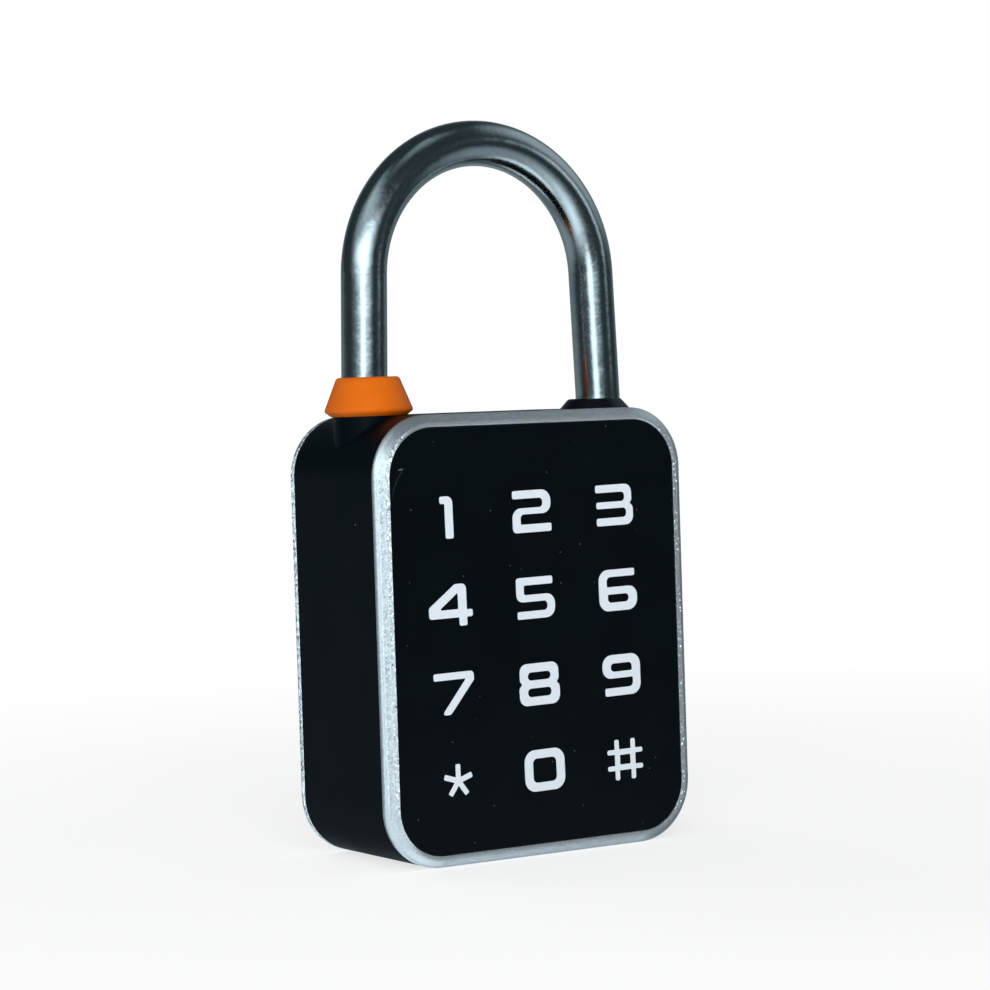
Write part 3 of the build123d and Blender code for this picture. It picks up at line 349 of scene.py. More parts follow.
class PADLOCK_OT_casing(bpy.types.Operator):
    """Finishes the cast casing"""
    bl_idname = "padlock.casing"
    bl_label = "Casing"

    def execute(self, context):
        colour = context.scene.padlock_finishes.casing
        # zinc, die-cast and spray-coated matt black: even, soft gloss, fine orange peel, a few dust specks
        material, tree, output, place = new_finish("zinc_cast_coated_matt_black")
        peel = add(tree, "TexNoise", {"Vector": place, "Scale": per(0.35), "Detail": 3.0}).outputs["Fac"]
        cloud = add(tree, "TexNoise", {"Vector": place, "Scale": per(9), "Detail": 2.0}).outputs["Fac"]
        shades = add(tree, "Mix", {0: cloud, 6: tone(colour, 0.75), 7: tone(colour, 1.2)}, data_type="RGBA")
        dust = dust_on(tree, place, spacing=4.4, size=0.1)
        dusty = add(tree, "Mix", {0: dust, 6: shades.outputs[2], 7: (0.55, 0.58, 0.6, 1)}, data_type="RGBA")
        gloss = add(tree, "MapRange", {"Value": cloud, "From Min": 0.3, "From Max": 0.7,
                                       "To Min": 0.36, "To Max": 0.46})
        bump = add(tree, "Bump", {"Strength": 1.0, "Distance": 0.006 * MM, "Height": peel})
        shader = add(tree, "BsdfPrincipled", {
            "Base Color": dusty.outputs[2], "Roughness": gloss.outputs[0], "Normal": bump.outputs[0],
            "IOR": 1.45, "Specular IOR Level": 0.07})
        tree.links.new(shader.outputs[0], output.inputs["Surface"])
        dress(["casing"], material)
        return {"FINISHED"}


# The bezels' outer corner radius, the width of their chamfer and of the flat land inside it
CORNER, BEZEL_CHAMFER, BEZEL_LAND = 9.3 * MM, 1.15 * MM, 0.68 * MM
# The middle and half depth of a bezel's side band, and the strip of the chamfer that its lean fades out over
SIDE_MIDDLE, SIDE_HALF, SIDE_FADE = 12.275 * MM, 0.525 * MM, 0.35 * MM
# How far a normal leans: at the edges of a side band, all over it, at the edges of a top or bottom land,
# between the dents of an upright land, and on a worn land
SIDE_FALL, SIDE_LEAN, BEAD_FALL, FLAT_FALL, WORN_FALL = 0.4, 0.8, 0.38, 0.16, 0.45


class PADLOCK_OT_bezels(bpy.types.Operator):
    """Finishes the front and rear bezels"""
    bl_idname = "padlock.bezels"
    bl_label = "Bezels"

    def execute(self, context):
        colour = context.scene.padlock_finishes.bezel
        # zinc, die-cast and coated in silver lacquer: flakes of 0.25 mm, as coarse as shows, glint one by one
        material, tree, output, place = new_finish("zinc_cast_silver_lacquered")
        flake = add(tree, "TexVoronoi", {"Vector": place, "Scale": per(0.25)}).outputs["Color"]
        pick = add(tree, "SeparateColor", {0: flake}).outputs[0]
        # the narrow front and rear lands were polished, and scatter a little more light
        sharp = add(tree, "NewGeometry").outputs["True Normal"]
        straight = add(tree, "SeparateXYZ", {0: sharp}).outputs["Y"]
        front = add(tree, "Math", {0: straight}, operation="ABSOLUTE").outputs[0]
        ground = add(tree, "MapRange", {"Value": front, "From Min": 0.9, "From Max": 0.99}).outputs[0]
        # the polishing left small bright dents on the upright lands, and the metal between them is flat
        outward, reach = self.outward(tree, place)
        sideways = add(tree, "SeparateXYZ", {0: outward}).outputs["X"]
        left, right = [add(tree, "MapRange", {"Value": sideways, "From Min": side * 0.35,
                                              "From Max": side * 0.8}).outputs[0] for side in (-1, 1)]
        upright = add(tree, "Math", {0: left, 1: right}, operation="ADD").outputs[0]
        flat = add(tree, "Math", {0: ground, 1: upright}, operation="MULTIPLY").outputs[0]
        dents = dust_on(tree, place, spacing=0.7, size=0.32)
        bright = add(tree, "Math", {0: flat, 1: dents}, operation="MULTIPLY").outputs[0]
        # casting and lacquer round every other edge by about half a millimetre
        rounding = add(tree, "Bevel", {"Radius": 0.5 * MM}, samples=8).outputs["Normal"]
        facing = add(tree, "Mix", {0: flat, 4: rounding, 5: sharp}, data_type="VECTOR").outputs[1]
        fall = self.land_fall(tree, outward, reach, left, right, upright, dents)
        fall = add(tree, "Mix", {0: ground, 4: (0, 0, 0), 5: fall}, data_type="VECTOR").outputs[1]
        # each flake tilts a little on its own, and more where the polishing has laid it bare
        tilt = add(tree, "VectorMath", {0: flake, 1: (0.5, 0.5, 0.5)}, operation="SUBTRACT").outputs[0]
        most = add(tree, "Mix", {0: ground, 2: 0.14, 3: 0.3}).outputs[0]
        tilted = add(tree, "VectorMath", {0: tilt, "Scale": most}, operation="SCALE").outputs[0]
        normal = facing
        for lean in (fall, tilted, self.side_fall(tree, place)):
            normal = add(tree, "VectorMath", {0: normal, 1: lean}, operation="ADD").outputs[0]
        normal = add(tree, "VectorMath", {0: normal}, operation="NORMALIZE").outputs[0]
        shade = add(tree, "MapRange", {"Value": pick, "To Min": 0.9, "To Max": 1.0}).outputs[0]
        base = add(tree, "Mix", {0: 1.0, 6: tone(colour), 7: shade}, data_type="RGBA", blend_type="MULTIPLY")
        coated = add(tree, "Mix", {0: ground, 2: 0.94, 3: 0.82}).outputs[0]
        gloss = add(tree, "MapRange", {"Value": pick, "To Min": 0.36, "To Max": 0.42}).outputs[0]
        gloss = add(tree, "Mix", {0: bright, 2: gloss, 3: 0.14}).outputs[0]
        shader = add(tree, "BsdfPrincipled", {
            "Base Color": base.outputs[2], "Metallic": coated, "Roughness": gloss, "Normal": normal})
        tree.links.new(shader.outputs[0], output.inputs["Surface"])
        dress(["front_bezel", "rear_bezel"], material)
        return {"FINISHED"}

    def outward(self, tree, place):
        """The way out from the bezels' rounded outline at each point, and how far out the point lies."""
        low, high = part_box("front_bezel")
        core = Vector(((high.x - low.x) / 2 - CORNER, 1, (high.z - low.z) / 2 - CORNER))
        off = add(tree, "VectorMath", {0: place, 1: (low + high) / 2}, operation="SUBTRACT").outputs[0]
        size = add(tree, "VectorMath", {0: off}, operation="ABSOLUTE").outputs[0]
        past = add(tree, "VectorMath", {0: size, 1: core}, operation="SUBTRACT").outputs[0]
        over = add(tree, "VectorMath", {0: past, 1: (0, 0, 0)}, operation="MAXIMUM").outputs[0]
        way = add(tree, "VectorMath", {0: over}, operation="NORMALIZE").outputs[0]
        side = add(tree, "VectorMath", {0: off}, operation="SIGN").outputs[0]
        outward = add(tree, "VectorMath", {0: way, 1: side}, operation="MULTIPLY").outputs[0]
        return outward, add(tree, "VectorMath", {0: over}, operation="LENGTH").outputs["Value"]

    def land_fall(self, tree, outward, reach, left, right, upright, dents):
        """How a land's polished rounding leans, by where on the bezel it lies."""
        # like a bead at the top and bottom: outwards at the outer edge, inwards at the inner edge
        across = add(tree, "MapRange", {"Value": reach, "From Min": CORNER - BEZEL_CHAMFER - BEZEL_LAND,
                                        "From Max": CORNER - BEZEL_CHAMFER, "To Min": -1.0}).outputs[0]
        dented = add(tree, "Mix", {0: dents, 2: FLAT_FALL, 3: 1.0}).outputs[0]
        depth = add(tree, "Mix", {0: upright, 2: BEAD_FALL, 3: dented}).outputs[0]
        depth = add(tree, "Math", {0: across, 1: depth}, operation="MULTIPLY").outputs[0]
        # a right land leans inwards, most of all in its dents
        inwards = add(tree, "Math", {0: dented, 1: -WORN_FALL}, operation="MULTIPLY").outputs[0]
        depth = add(tree, "Mix", {0: right, 2: depth, 3: inwards}).outputs[0]
        # a left land is worn round towards the chamfer, and carries the chamfer's light on up to the panel
        depth = add(tree, "Mix", {0: left, 2: depth, 3: WORN_FALL}).outputs[0]
        return add(tree, "VectorMath", {0: outward, "Scale": depth}, operation="SCALE").outputs[0]

    def side_fall(self, tree, place):
        """How a side band leans: forwards all over, and rounded from its front edge to its rear edge."""
        depth = add(tree, "SeparateXYZ", {0: place}).outputs["Y"]
        reach = add(tree, "Math", {0: depth}, operation="ABSOLUTE").outputs[0]
        run = add(tree, "MapRange", {
            "Value": reach, "From Min": SIDE_MIDDLE - SIDE_HALF, "From Max": SIDE_MIDDLE + SIDE_HALF,
            "To Min": -SIDE_FALL, "To Max": SIDE_FALL}).outputs[0]
        way = add(tree, "Math", {0: depth}, operation="SIGN").outputs[0]
        lean = add(tree, "Math", {0: run, 1: way, 2: -SIDE_LEAN}, operation="MULTIPLY_ADD").outputs[0]
        lean = add(tree, "CombineXYZ", {"Y": lean}).outputs[0]
        # the rear bezel's side was left as cast: coarse bright grains of about 0.4 mm
        grain = add(tree, "TexVoronoi", {"Vector": place, "Scale": per(0.4)}).outputs["Color"]
        grain = add(tree, "VectorMath", {0: grain, 1: (0.5, 0.8, 0.5)}, operation="SUBTRACT").outputs[0]
        behind = add(tree, "Math", {0: depth, 1: 0.0}, operation="GREATER_THAN").outputs[0]
        grain = add(tree, "VectorMath", {0: grain, "Scale": behind}, operation="SCALE").outputs[0]
        lean = add(tree, "VectorMath", {0: lean, 1: grain}, operation="ADD").outputs[0]
        on_band = add(tree, "MapRange", {"Value": reach, "From Min": SIDE_MIDDLE + SIDE_HALF + SIDE_FADE,
                                         "From Max": SIDE_MIDDLE + SIDE_HALF}).outputs[0]
        return add(tree, "VectorMath", {0: lean, "Scale": on_band}, operation="SCALE").outputs[0]


class PADLOCK_OT_panels(bpy.types.Operator):
    """Finishes the touch panel and the plain rear panel"""
    bl_idname = "padlock.panels"
    bl_label = "Panels"

    def execute(self, context):
        colour = context.scene.padlock_finishes.glass
        # soda-lime glass, ground at the edge and printed black behind: deep black, sharp gloss, a little dust
        material, tree, output, place = new_finish("glass_printed_black_behind")
        haze = add(tree, "TexNoise", {"Vector": place, "Scale": per(11), "Detail": 4.0}).outputs["Fac"]
        deep = add(tree, "Mix", {0: haze, 6: tone(colour, 0.7), 7: tone(colour, 1.35)}, data_type="RGBA")
        dust = dust_on(tree, place, spacing=2.2, size=0.09)
        dusty = add(tree, "Mix", {0: dust, 6: deep.outputs[2], 7: (0.2, 0.22, 0.24, 1)}, data_type="RGBA")
        # a faint pale arc with a small pale spot at its end lightens the black beside the upper left corner
        arc_marked = add(tree, "Mix", {0: self.pale_arc(tree, place), 6: dusty.outputs[2], 7: (0.12, 0.13, 0.14, 1)},
                     data_type="RGBA")
        gloss = add(tree, "MapRange", {"Value": haze, "From Min": 0.3, "From Max": 0.7,
                                       "To Min": 0.07, "To Max": 0.15})
        shader = add(tree, "BsdfPrincipled", {
            "Base Color": arc_marked.outputs[2], "Roughness": gloss.outputs[0], "IOR": 1.5})
        tree.links.new(shader.outputs[0], output.inputs["Surface"])
        dress(["touch_panel"], material)
        # ABS, moulded in a polished tool: gloss black with faint flow marks 3 mm apart
        dress(["rear_panel"],
              grained("abs_moulded_gloss_black", linear("#0B0B0C"), metallic=0.0, roughness=0.14, grain=3.0,
                      relief=0.004, shade=0.2))
        return {"FINISHED"}

    def pale_arc(self, tree, place):
        """A mask of a faint pale arc beside the panel's upper left corner, with a small pale spot at its end.
        """
        middle, radius = Vector((-17.56, -13.65, 54.17)) * MM, 7.73 * MM
        off = add(tree, "VectorMath", {0: place, 1: middle}, operation="SUBTRACT").outputs[0]
        reach = add(tree, "VectorMath", {0: off}, operation="LENGTH").outputs["Value"]
        past = add(tree, "Math", {0: reach, 1: radius}, operation="SUBTRACT").outputs[0]
        near = add(tree, "Math", {0: past}, operation="ABSOLUTE").outputs[0]
        line = add(tree, "MapRange", {"Value": near, "From Min": 0.16 * MM, "From Max": 0.04 * MM,
                                      "To Max": 0.14}).outputs[0]
        # the arc fades out at both its ends, and the small pale spot at its end is an oval
        ends = self.oval(tree, place, middle=(-24.2, 57.9), half=(2.4, 3.6), tilt=0)
        end_spot = self.oval(tree, place, middle=(-23.6, 59.57), half=(0.55, 0.16), tilt=-9)
        arc = add(tree, "Math", {0: line, 1: ends}, operation="MULTIPLY").outputs[0]
        return add(tree, "Math", {0: arc, 1: end_spot}, operation="MAXIMUM").outputs[0]

    def oval(self, tree, place, middle, half, tilt):
        """A soft oval mark on the panel, its middle and half sizes in millimetres and its tilt in degrees."""
        spot = add(tree, "Mapping", {"Vector": place, "Location": (middle[0] * MM, 0, middle[1] * MM),
                                     "Rotation": (0, math.radians(tilt), 0),
                                     "Scale": (half[0] * MM, 1, half[1] * MM)}, vector_type="TEXTURE")
        out = add(tree, "VectorMath", {0: spot.outputs[0]}, operation="LENGTH").outputs["Value"]
        return add(tree, "MapRange", {"Value": out, "From Min": 1.0, "From Max": 0.4},
                   interpolation_type="SMOOTHSTEP").outputs[0]


class PADLOCK_OT_shackle(bpy.types.Operator):
    """Finishes the steel shackle"""
    bl_idname = "padlock.shackle"
    bl_label = "Shackle"

    def execute(self, context):
        colour = context.scene.padlock_finishes.steel
        # steel, bent from drawn bar, tumbled and bright plated: a mirror with a low ripple and fine pits
        material, tree, output, place = new_finish("steel_bar_bright_plated")
        ripple = add(tree, "TexNoise", {"Vector": place, "Scale": per(2.6), "Detail": 2.0}).outputs["Fac"]
        pits = add(tree, "TexNoise", {"Vector": place, "Scale": per(0.5), "Detail": 4.0,
                                      "Roughness": 0.65}).outputs["Fac"]
        shades = add(tree, "Mix", {0: pits, 6: tone(colour, 0.86), 7: tone(colour, 1.1)}, data_type="RGBA")
        gloss = add(tree, "MapRange", {"Value": pits, "From Min": 0.35, "From Max": 0.65,
                                       "To Min": 0.13, "To Max": 0.19})
        low = add(tree, "Bump", {"Strength": 1.0, "Distance": 0.05 * MM, "Height": ripple})
        bump = add(tree, "Bump", {"Strength": 1.0, "Distance": 0.012 * MM, "Height": pits,
                                  "Normal": low.outputs[0]})
        shader = add(tree, "BsdfPrincipled", {
            "Base Color": shades.outputs[2], "Metallic": 1.0, "Roughness": gloss.outputs[0],
            "Normal": bump.outputs[0]})
        tree.links.new(shader.outputs[0], output.inputs["Surface"])
        dress(["shackle"], material)
        return {"FINISHED"}


class PADLOCK_OT_seals(bpy.types.Operator):
    """Finishes the orange toe seal, the black heel seal and port plug, and the gaskets"""
    bl_idname = "padlock.seals"
    bl_label = "Seals"

    def execute(self, context):
        finishes = context.scene.padlock_finishes
        # silicone rubber, compression moulded: satin, slightly clouded, light goes a little way in
        material, tree, output, place = new_finish("silicone_moulded_orange")
        cloud = add(tree, "TexNoise", {"Vector": place, "Scale": per(2.4), "Detail": 3.0}).outputs["Fac"]
        skin = add(tree, "TexNoise", {"Vector": place, "Scale": per(0.25), "Detail": 2.0}).outputs["Fac"]
        shades = add(tree, "Mix", {0: cloud, 6: tone(finishes.orange, 0.9), 7: tone(finishes.orange, 1.06)},
                     data_type="RGBA")
        # the moulded lip is round, so the light runs over its edge
        lip = add(tree, "Bevel", {"Radius": 1.0 * MM}, samples=8).outputs["Normal"]
        bump = add(tree, "Bump", {"Strength": 1.0, "Distance": 0.004 * MM, "Height": skin, "Normal": lip})
        shader = add(tree, "BsdfPrincipled", {
            "Base Color": shades.outputs[2], "Roughness": 0.5, "IOR": 1.41, "Subsurface Weight": 0.06,
            "Subsurface Radius": (1.0, 0.35, 0.1), "Subsurface Scale": 0.8 * MM, "Normal": bump.outputs[0]})
        tree.links.new(shader.outputs[0], output.inputs["Surface"])
        dress(["toe_seal"], material)
        # EPDM rubber, moulded: matt black with a fine skin
        dress(["heel_seal", "port_plug"],
              grained("epdm_moulded_black", finishes.rubber, metallic=0.0, roughness=0.34, grain=0.3,
                      relief=0.006, shade=0.2, specular=0.25))
        # silicone, moulded: matt mid grey
        dress(["front_gasket", "rear_gasket"],
              grained("silicone_moulded_grey", linear("#595B5D"), metallic=0.0, roughness=0.6, grain=0.3,
                      relief=0.006))
        return {"FINISHED"}


class PADLOCK_OT_lock_works(bpy.types.Operator):
    """Finishes the frame, motor, gearbox, cam, latch bolt and retaining pin"""
    bl_idname = "padlock.lock_works"
    bl_label = "Lock works"

    def execute(self, context):
        # zinc, die-cast and left bare: dull grey skin with flow marks
        dress(["lock_frame"],
              grained("zinc_die_cast_bare", linear("#A4A8AB"), metallic=1.0, roughness=0.48, grain=0.8,
                      relief=0.02, shade=0.18))
        # steel, milled and hardened: grey, with cutter lines 0.25 mm apart along the bolt
        dress(["latch_bolt", "retaining_pin", "drive_cam", "output_shaft"],
              grained("steel_milled_hardened", linear("#B4B6B8"), metallic=1.0, roughness=0.3, grain=0.25,
                      relief=0.004, stretch=(0.1, 1, 1)))
        # acetal, moulded: waxy off-white
        dress(["gearbox"],
              grained("acetal_moulded_natural", linear("#C4C4BA"), metallic=0.0, roughness=0.42, grain=0.5,
                      relief=0.01, shade=0.05))
        # nylon, moulded: warm white and matt
        dress(["motor_cap"],
              grained("nylon_moulded_white", linear("#DBDBD4"), metallic=0.0, roughness=0.5, grain=0.4,
                      relief=0.01, shade=0.05))
        return {"FINISHED"}


class PADLOCK_OT_metal_fittings(bpy.types.Operator):
    """Finishes the screws, springs, motor can, frame cover and the shell of the charging socket"""
    bl_idname = "padlock.metal_fittings"
    bl_label = "Metal fittings"

    def execute(self, context):
        # steel, cold formed and zinc plated: bright grey with faint cloudy plating
        dress(["front_screws", "rear_screws", "motor_can", "frame_cover", "frame_screws", "cover_screws",
               "board_screws", "charge_socket"],
              grained("steel_formed_zinc_plated", linear("#ACADAF"), metallic=1.0, roughness=0.34, grain=0.35,
                      relief=0.004, shade=0.15))
        # stainless wire, drawn: semi-bright, with draw lines along its length
        dress(["bolt_spring", "shackle_spring"],
              grained("stainless_wire_drawn", linear("#A2A3A5"), metallic=1.0, roughness=0.28, grain=0.15,
                      relief=0.002))
        return {"FINISHED"}


class PADLOCK_OT_electronics(bpy.types.Operator):
    """Finishes the boards, chips, buzzer, sockets and ribbon"""
    bl_idname = "padlock.electronics"
    bl_label = "Electronics"

    def execute(self, context):
        # glass-epoxy laminate under solder mask: green and glossy, with the weave showing 0.6 mm apart
        dress(["touch_board", "main_board"],
              grained("laminate_solder_masked_green", linear("#1B5A38"), metallic=0.0, roughness=0.3,
                      grain=0.6, relief=0.006, shade=0.2, coat=0.3))
        # epoxy, transfer moulded: dead black with a fine spark texture
        dress(["touch_chip", "control_chip", "buzzer", "socket_tongue"],
              grained("epoxy_moulded_black", linear("#1A1B1C"), metallic=0.0, roughness=0.55, grain=0.12,
                      relief=0.006, shade=0.15))
        # nylon, moulded: cream
        dress(["ribbon_sockets"],
              grained("nylon_moulded_cream", linear("#DCD4BF"), metallic=0.0, roughness=0.45, grain=0.3,
                      relief=0.006, shade=0.05))
        # polyester film, slit: white and smooth, with its conductors as faint lines 0.5 mm apart
        dress(["ribbon_cable"],
              grained("polyester_film_slit_white", linear("#D9DBDE"), metallic=0.0, roughness=0.25, grain=0.5,
                      relief=0.003, shade=0.06, stretch=(1, 0.05, 0.05)))
        return {"FINISHED"}


class PADLOCK_OT_battery(bpy.types.Operator):
    """Finishes the battery cell and its foam pad"""
    bl_idname = "padlock.battery"
    bl_label = "Battery"

    def execute(self, context):
        # aluminium laminate, deep drawn: satin silver with soft wrinkles about 4 mm apart
        dress(["battery_cell"],
              grained("aluminium_laminate_drawn", linear("#CCCDCE"), metallic=1.0, roughness=0.36, grain=4.0,
                      relief=0.12, shade=0.06))
        # polyethylene foam, cut: black, open cells of about 0.5 mm
        dress(["battery_pad"],
              grained("polyethylene_foam_cut", linear("#262728"), metallic=0.0, roughness=0.85, grain=0.5,
                      relief=0.12, shade=0.3))
        return {"FINISHED"}


# The rounding of a stroke's ends, and how far the printed ink stops short of the drawn edge, in millimetres
END, INK_TRIM = 0.3, 0.06
# Each key sign is drawn as closed outlines about its own middle. A corner is (across, up, rounding) in
# millimetres. The first outline is the sign's edge and any others are the openings in it.
KEY_SIGNS = {
    "1": [[(-1.18, 3.22, END), (1.18, 3.22, 1.0), (1.18, -3.22, END), (-0.34, -3.22, END), (-0.34, 2.0, 0.2),
           (-1.18, 2.0, END)]],
    "2": [[(-3.5, 3.25, END), (3.5, 3.25, 1.7), (3.5, -0.48, 1.5), (-2.02, -0.48, 0.6), (-2.02, -1.9, 0.2),
           (3.5, -1.9, END), (3.5, -3.25, END), (-3.6, -3.25, 0.7), (-3.6, 0.6, 1.5), (1.9, 0.6, 0.6),
           (1.9, 1.9, 0.6), (-3.5, 1.9, END)]],
    "3": [[(-3.5, 3.2, END), (3.3, 3.2, 1.6), (3.3, 0.6, 0.8), (2.95, 0.15, 0.1), (3.5, -0.3, 0.8),
           (3.5, -3.2, 1.6), (-3.45, -3.2, END), (-3.45, -1.9, END), (2.1, -1.9, 0.6), (2.1, -0.57, 0.6),
           (-3.4, -0.57, END), (-3.4, 0.57, END), (1.85, 0.57, 0.6), (1.85, 1.9, 0.6), (-3.5, 1.9, END)]],
    "4": [[(0.85, 3.2, 0.7), (2.9, 3.2, 0.8), (2.9, -0.7, 0.1), (3.9, -0.7, END), (3.9, -1.92, END),
           (2.9, -1.92, 0.1), (2.9, -3.2, END), (1.4, -3.2, END), (1.4, -1.92, 0.1), (-3.85, -1.92, 0.5),
           (-3.85, -0.15, 0.7)],
          [(-2.2, -0.68, 0.15), (1.4, -0.68, 0.1), (1.4, 1.97, 0.15)]],
    "5": [[(-3.53, 3.2, 0.5), (3.2, 3.2, END), (3.2, 1.9, END), (-2.03, 1.9, END), (-2.03, 0.56, END),
           (3.52, 0.56, 1.5), (3.52, -3.2, 1.6), (-3.45, -3.2, END), (-3.45, -1.92, END), (2.02, -1.92, 0.6),
           (2.02, -0.62, 0.6), (-3.53, -0.62, 1.1)]],
    "6": [[(-3.6, 3.25, 1.7), (3.25, 3.25, END), (3.25, 2.0, END), (-2.0, 2.0, 0.7), (-2.0, 0.57, 0.15),
           (3.6, 0.57, 1.5), (3.6, -3.25, 1.7), (-3.6, -3.25, 1.7)],
          [(-2.0, -0.57, 0.25), (2.0, -0.57, 0.6), (2.0, -1.95, 0.6), (-2.0, -1.95, 0.6)]],
    "7": [[(-3.59, 3.2, END), (3.59, 3.2, 0.6), (3.59, 1.75, 0.5), (-0.72, -3.2, 0.45), (-2.45, -3.2, END),
           (2.0, 2.0, 0.1), (-3.59, 2.0, END)]],
    "8": [[(-3.58, 3.25, 1.6), (3.58, 3.25, 1.6), (3.58, 0.6, 0.8), (3.2, 0.1, 0.1), (3.7, -0.4, 0.8),
           (3.7, -3.25, 1.7), (-3.7, -3.25, 1.7), (-3.7, -0.4, 0.8), (-3.2, 0.1, 0.1), (-3.58, 0.6, 0.8)],
          [(-2.12, 1.92, 0.6), (2.12, 1.92, 0.6), (2.12, 0.57, 0.6), (-2.12, 0.57, 0.6)],
          [(-2.18, -0.53, 0.6), (2.18, -0.53, 0.6), (2.18, -1.95, 0.6), (-2.18, -1.95, 0.6)]],
    "9": [[(-3.58, 3.22, 1.7), (3.58, 3.22, 1.7), (3.58, -3.22, 1.7), (-3.22, -3.22, END),
           (-3.22, -1.88, END), (2.02, -1.88, 0.7), (2.02, -0.52, 0.15), (-3.58, -0.52, 1.5)],
          [(-2.02, 1.9, 0.6), (2.02, 1.9, 0.6), (2.02, 0.5, 0.25), (-2.02, 0.5, 0.6)]],
    "0": [[(-3.4, 3.22, 1.85), (4.0, 3.22, 1.85), (4.0, -3.22, 1.85), (-3.4, -3.22, 1.85)],
          [(-1.88, 1.9, 0.75), (2.48, 1.9, 0.75), (2.48, -1.9, 0.75), (-1.88, -1.9, 0.75)]],
}
KEY_ROWS = (("1", "2", "3"), ("4", "5", "6"), ("7", "8", "9"), ("star", "0", "hash"))


def star_outline(arms=5, length=2.6, width=0.95):
    """The outline of the star key: arms of one width, the first straight up."""
    half = width / 2
    notch = half / math.sin(math.pi / arms)
    corners = []
    for k in range(arms):
        along = math.pi / 2 - k * 2 * math.pi / arms
        ahead = Vector((math.cos(along), math.sin(along)))
        side = Vector((math.sin(along), -math.cos(along)))
        corners += [(*(ahead * length + side * edge), 0.2) for edge in (-half, half)]
        between = along - math.pi / arms
        corners.append((notch * math.cos(between), notch * math.sin(between), 0.05))
    return [corners]


def hash_outline(near=1.03, far=1.98, low=0.81, high=1.69, wide=3.35, tall=3.2):
    """The outline of the hash key, and of the opening in its middle, from its upper right quarter."""
    # near and far are the sides of an upright stroke, and low and high are those of a level stroke
    quarter = [(near, high, 0.1), (near, tall, END), (far, tall, END), (far, high, 0.1), (wide, high, END),
               (wide, low, END), (far, low, 0.1)]
    right = quarter + [(x, -z, rounding) for x, z, rounding in reversed(quarter)]
    left = [(-x, -z, rounding) for x, z, rounding in right]
    # the outline starts at the top of the left upright stroke
    return [left[-3:] + right + left[:-3],
            [(-near, low, 0.1), (near, low, 0.1), (near, -low, 0.1), (-near, -low, 0.1)]]


def trimmed(corners, trim):
    """The corners of a closed outline after each of its sides moves inwards by a trim."""
    flat = [Vector(corner[:2]) for corner in corners]
    area = sum(flat[i - 1].cross(flat[i]) for i in range(len(flat)))
    moved = []
    for i, (here, corner) in enumerate(zip(flat, corners)):
        before = (here - flat[i - 1]).normalized()
        after = (flat[(i + 1) % len(flat)] - here).normalized()
        side = Vector((before.y + after.y, -before.x - after.x)).normalized()
        reach = math.copysign(trim, -area) / side.dot(Vector((after.y, -after.x)))
        moved.append((*(here + side * reach), corner[2]))
    return moved


def rounded(corners, steps=6):
    """The points of a closed outline whose corners are rounded by arcs."""
    points = []
    for i, (x, z, rounding) in enumerate(corners):
        here = Vector((x, z))
        back = Vector(corners[i - 1][:2]) - here
        ahead = Vector(corners[(i + 1) % len(corners)][:2]) - here
        half_angle = back.angle(ahead) / 2
        reach = min(rounding / math.tan(half_angle), 0.49 * back.length, 0.49 * ahead.length)
        start, end = here + back.normalized() * reach, here + ahead.normalized() * reach
        radius = reach * math.tan(half_angle)
        inward = (back.normalized() + ahead.normalized()).normalized()
        middle = here + inward * (radius / math.sin(half_angle))
        sweep = (start - middle).angle_signed(end - middle)
        for k in range(steps + 1):
            # a positive signed angle turns clockwise in this library
            turn = Matrix.Rotation(-sweep * k / steps, 2)
            points.append(middle + turn @ (start - middle))
    return points


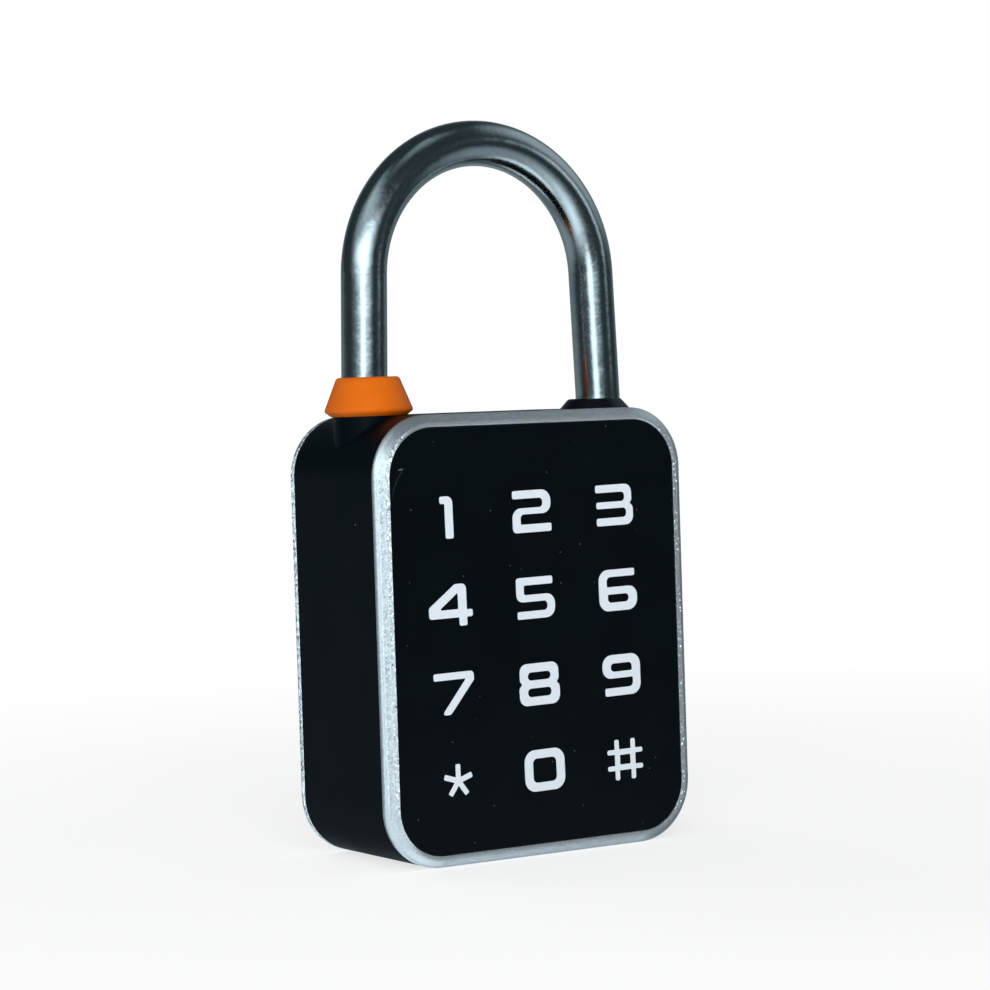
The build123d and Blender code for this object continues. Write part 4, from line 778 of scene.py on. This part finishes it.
class PADLOCK_OT_key_print(bpy.types.Operator):
    """Prints the digits, star and hash on the touch panel as one thin layer of ink"""
    bl_idname = "padlock.key_print"
    bl_label = "Key print"

    def execute(self, context):
        keys = context.scene.padlock_keys
        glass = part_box("touch_panel")[0].y
        signs = dict(KEY_SIGNS, star=star_outline(), hash=hash_outline())
        layer = bmesh.new()
        for row, names in enumerate(KEY_ROWS):
            for column, name in enumerate(names):
                across = (column - 1) * keys.column_pitch
                up = (1.5 - row) * keys.row_pitch
                self.draw_sign(layer, signs[name], across, up)
        # each flat sign becomes a closed layer, its front off the glass and its back just inside, built face
        # by face because an extrusion's faces come in another order each run
        inside = 0.01 * MM
        faces = layer.faces[:]
        rims = [edge.verts[:] for edge in layer.edges if edge.is_boundary]
        backs = {front: layer.verts.new((front.co.x, inside, front.co.z)) for front in layer.verts[:]}
        for face in faces:
            layer.faces.new([backs[front] for front in face.verts])
        for start, end in rims:
            layer.faces.new((start, end, backs[end], backs[start]))
        for front in backs:
            front.co.y = -keys.ink_height
        bmesh.ops.recalc_face_normals(layer, faces=layer.faces[:])
        mesh = bpy.data.meshes.new("key_print")
        turn = Matrix.Rotation(keys.turn, 4, "Y")
        layer.transform(Matrix.Translation((keys.middle_x, glass, keys.middle_z)) @ turn)
        layer.to_mesh(mesh)
        layer.free()
        key_print = bpy.data.objects.new("key_print", mesh)
        context.scene.collection.objects.link(key_print)
        mesh.materials.append(self.ink(context.scene.padlock_finishes.ink))
        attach(key_print, "housing")
        return {"FINISHED"}

    def draw_sign(self, layer, outlines, across, up):
        """Adds one sign's flat faces, with its openings left open."""
        edges = []
        for k, outline in enumerate(outlines):
            # the ink stops a little short of the drawn edge, and an opening is that much wider
            outline = trimmed(outline, -INK_TRIM if k else INK_TRIM)
            ring = [layer.verts.new((across + p.x * MM, 0, up + p.y * MM)) for p in rounded(outline)]
            edges += [layer.edges.new((ring[i - 1], ring[i])) for i in range(len(ring))]
        made = bmesh.ops.triangle_fill(layer, edges=edges, use_beauty=True)
        if not made["geom"]:
            raise RuntimeError("a key sign could not be filled")

    def ink(self, colour):
        """The finish of the key print in the ink's colour."""
        # screen-printed ceramic ink: dense cool white, slightly grainy where the mesh let it through
        material, tree, output, place = new_finish("ceramic_ink_screen_printed")
        grain = add(tree, "TexNoise", {"Vector": place, "Scale": per(0.3), "Detail": 3.0}).outputs["Fac"]
        shades = add(tree, "Mix", {0: grain, 6: tone(colour, 0.93), 7: tone(colour, 1.04)}, data_type="RGBA")
        bump = add(tree, "Bump", {"Strength": 1.0, "Distance": 0.002 * MM, "Height": grain})
        shader = add(tree, "BsdfPrincipled", {
            "Base Color": shades.outputs[2], "Roughness": 0.5, "Normal": bump.outputs[0]})
        tree.links.new(shader.outputs[0], output.inputs["Surface"])
        return material


PIECES = (PADLOCK_OT_studio, PADLOCK_OT_casing, PADLOCK_OT_bezels, PADLOCK_OT_panels, PADLOCK_OT_shackle,
          PADLOCK_OT_seals, PADLOCK_OT_lock_works, PADLOCK_OT_metal_fittings, PADLOCK_OT_electronics,
          PADLOCK_OT_battery, PADLOCK_OT_key_print)


class PADLOCK_PT_pieces(bpy.types.Panel):
    """Lists the padlock's pieces and what can be changed about them"""
    bl_idname = "PADLOCK_PT_pieces"
    bl_label = "Keypad padlock"
    bl_space_type = "VIEW_3D"
    bl_region_type = "UI"
    bl_category = "Padlock"

    def draw(self, context):
        scene = context.scene
        for group in (scene.padlock_finishes, scene.padlock_keys, scene.padlock_studio):
            box = self.layout.box()
            for name in group.__annotations__:
                box.prop(group, name)
        for piece in PIECES:
            self.layout.operator(piece.bl_idname)


GROUPS = (("padlock_finishes", PadlockFinishes), ("padlock_keys", PadlockKeys),
          ("padlock_studio", PadlockStudio))


def register():
    for name, group in GROUPS:
        bpy.utils.register_class(group)
        setattr(bpy.types.Scene, name, PointerProperty(type=group))
    for kind in (*PIECES, PADLOCK_PT_pieces):
        bpy.utils.register_class(kind)


def unregister():
    for kind in (PADLOCK_PT_pieces, *reversed(PIECES)):
        bpy.utils.unregister_class(kind)
    for name, group in reversed(GROUPS):
        delattr(bpy.types.Scene, name)
        bpy.utils.unregister_class(group)


def main():
    register()
    bpy.ops.padlock.studio()
    bpy.ops.padlock.casing()
    bpy.ops.padlock.bezels()
    bpy.ops.padlock.panels()
    bpy.ops.padlock.shackle()
    bpy.ops.padlock.seals()
    bpy.ops.padlock.lock_works()
    bpy.ops.padlock.metal_fittings()
    bpy.ops.padlock.electronics()
    bpy.ops.padlock.battery()
    bpy.ops.padlock.key_print()


if __name__ == "__main__":
    main()
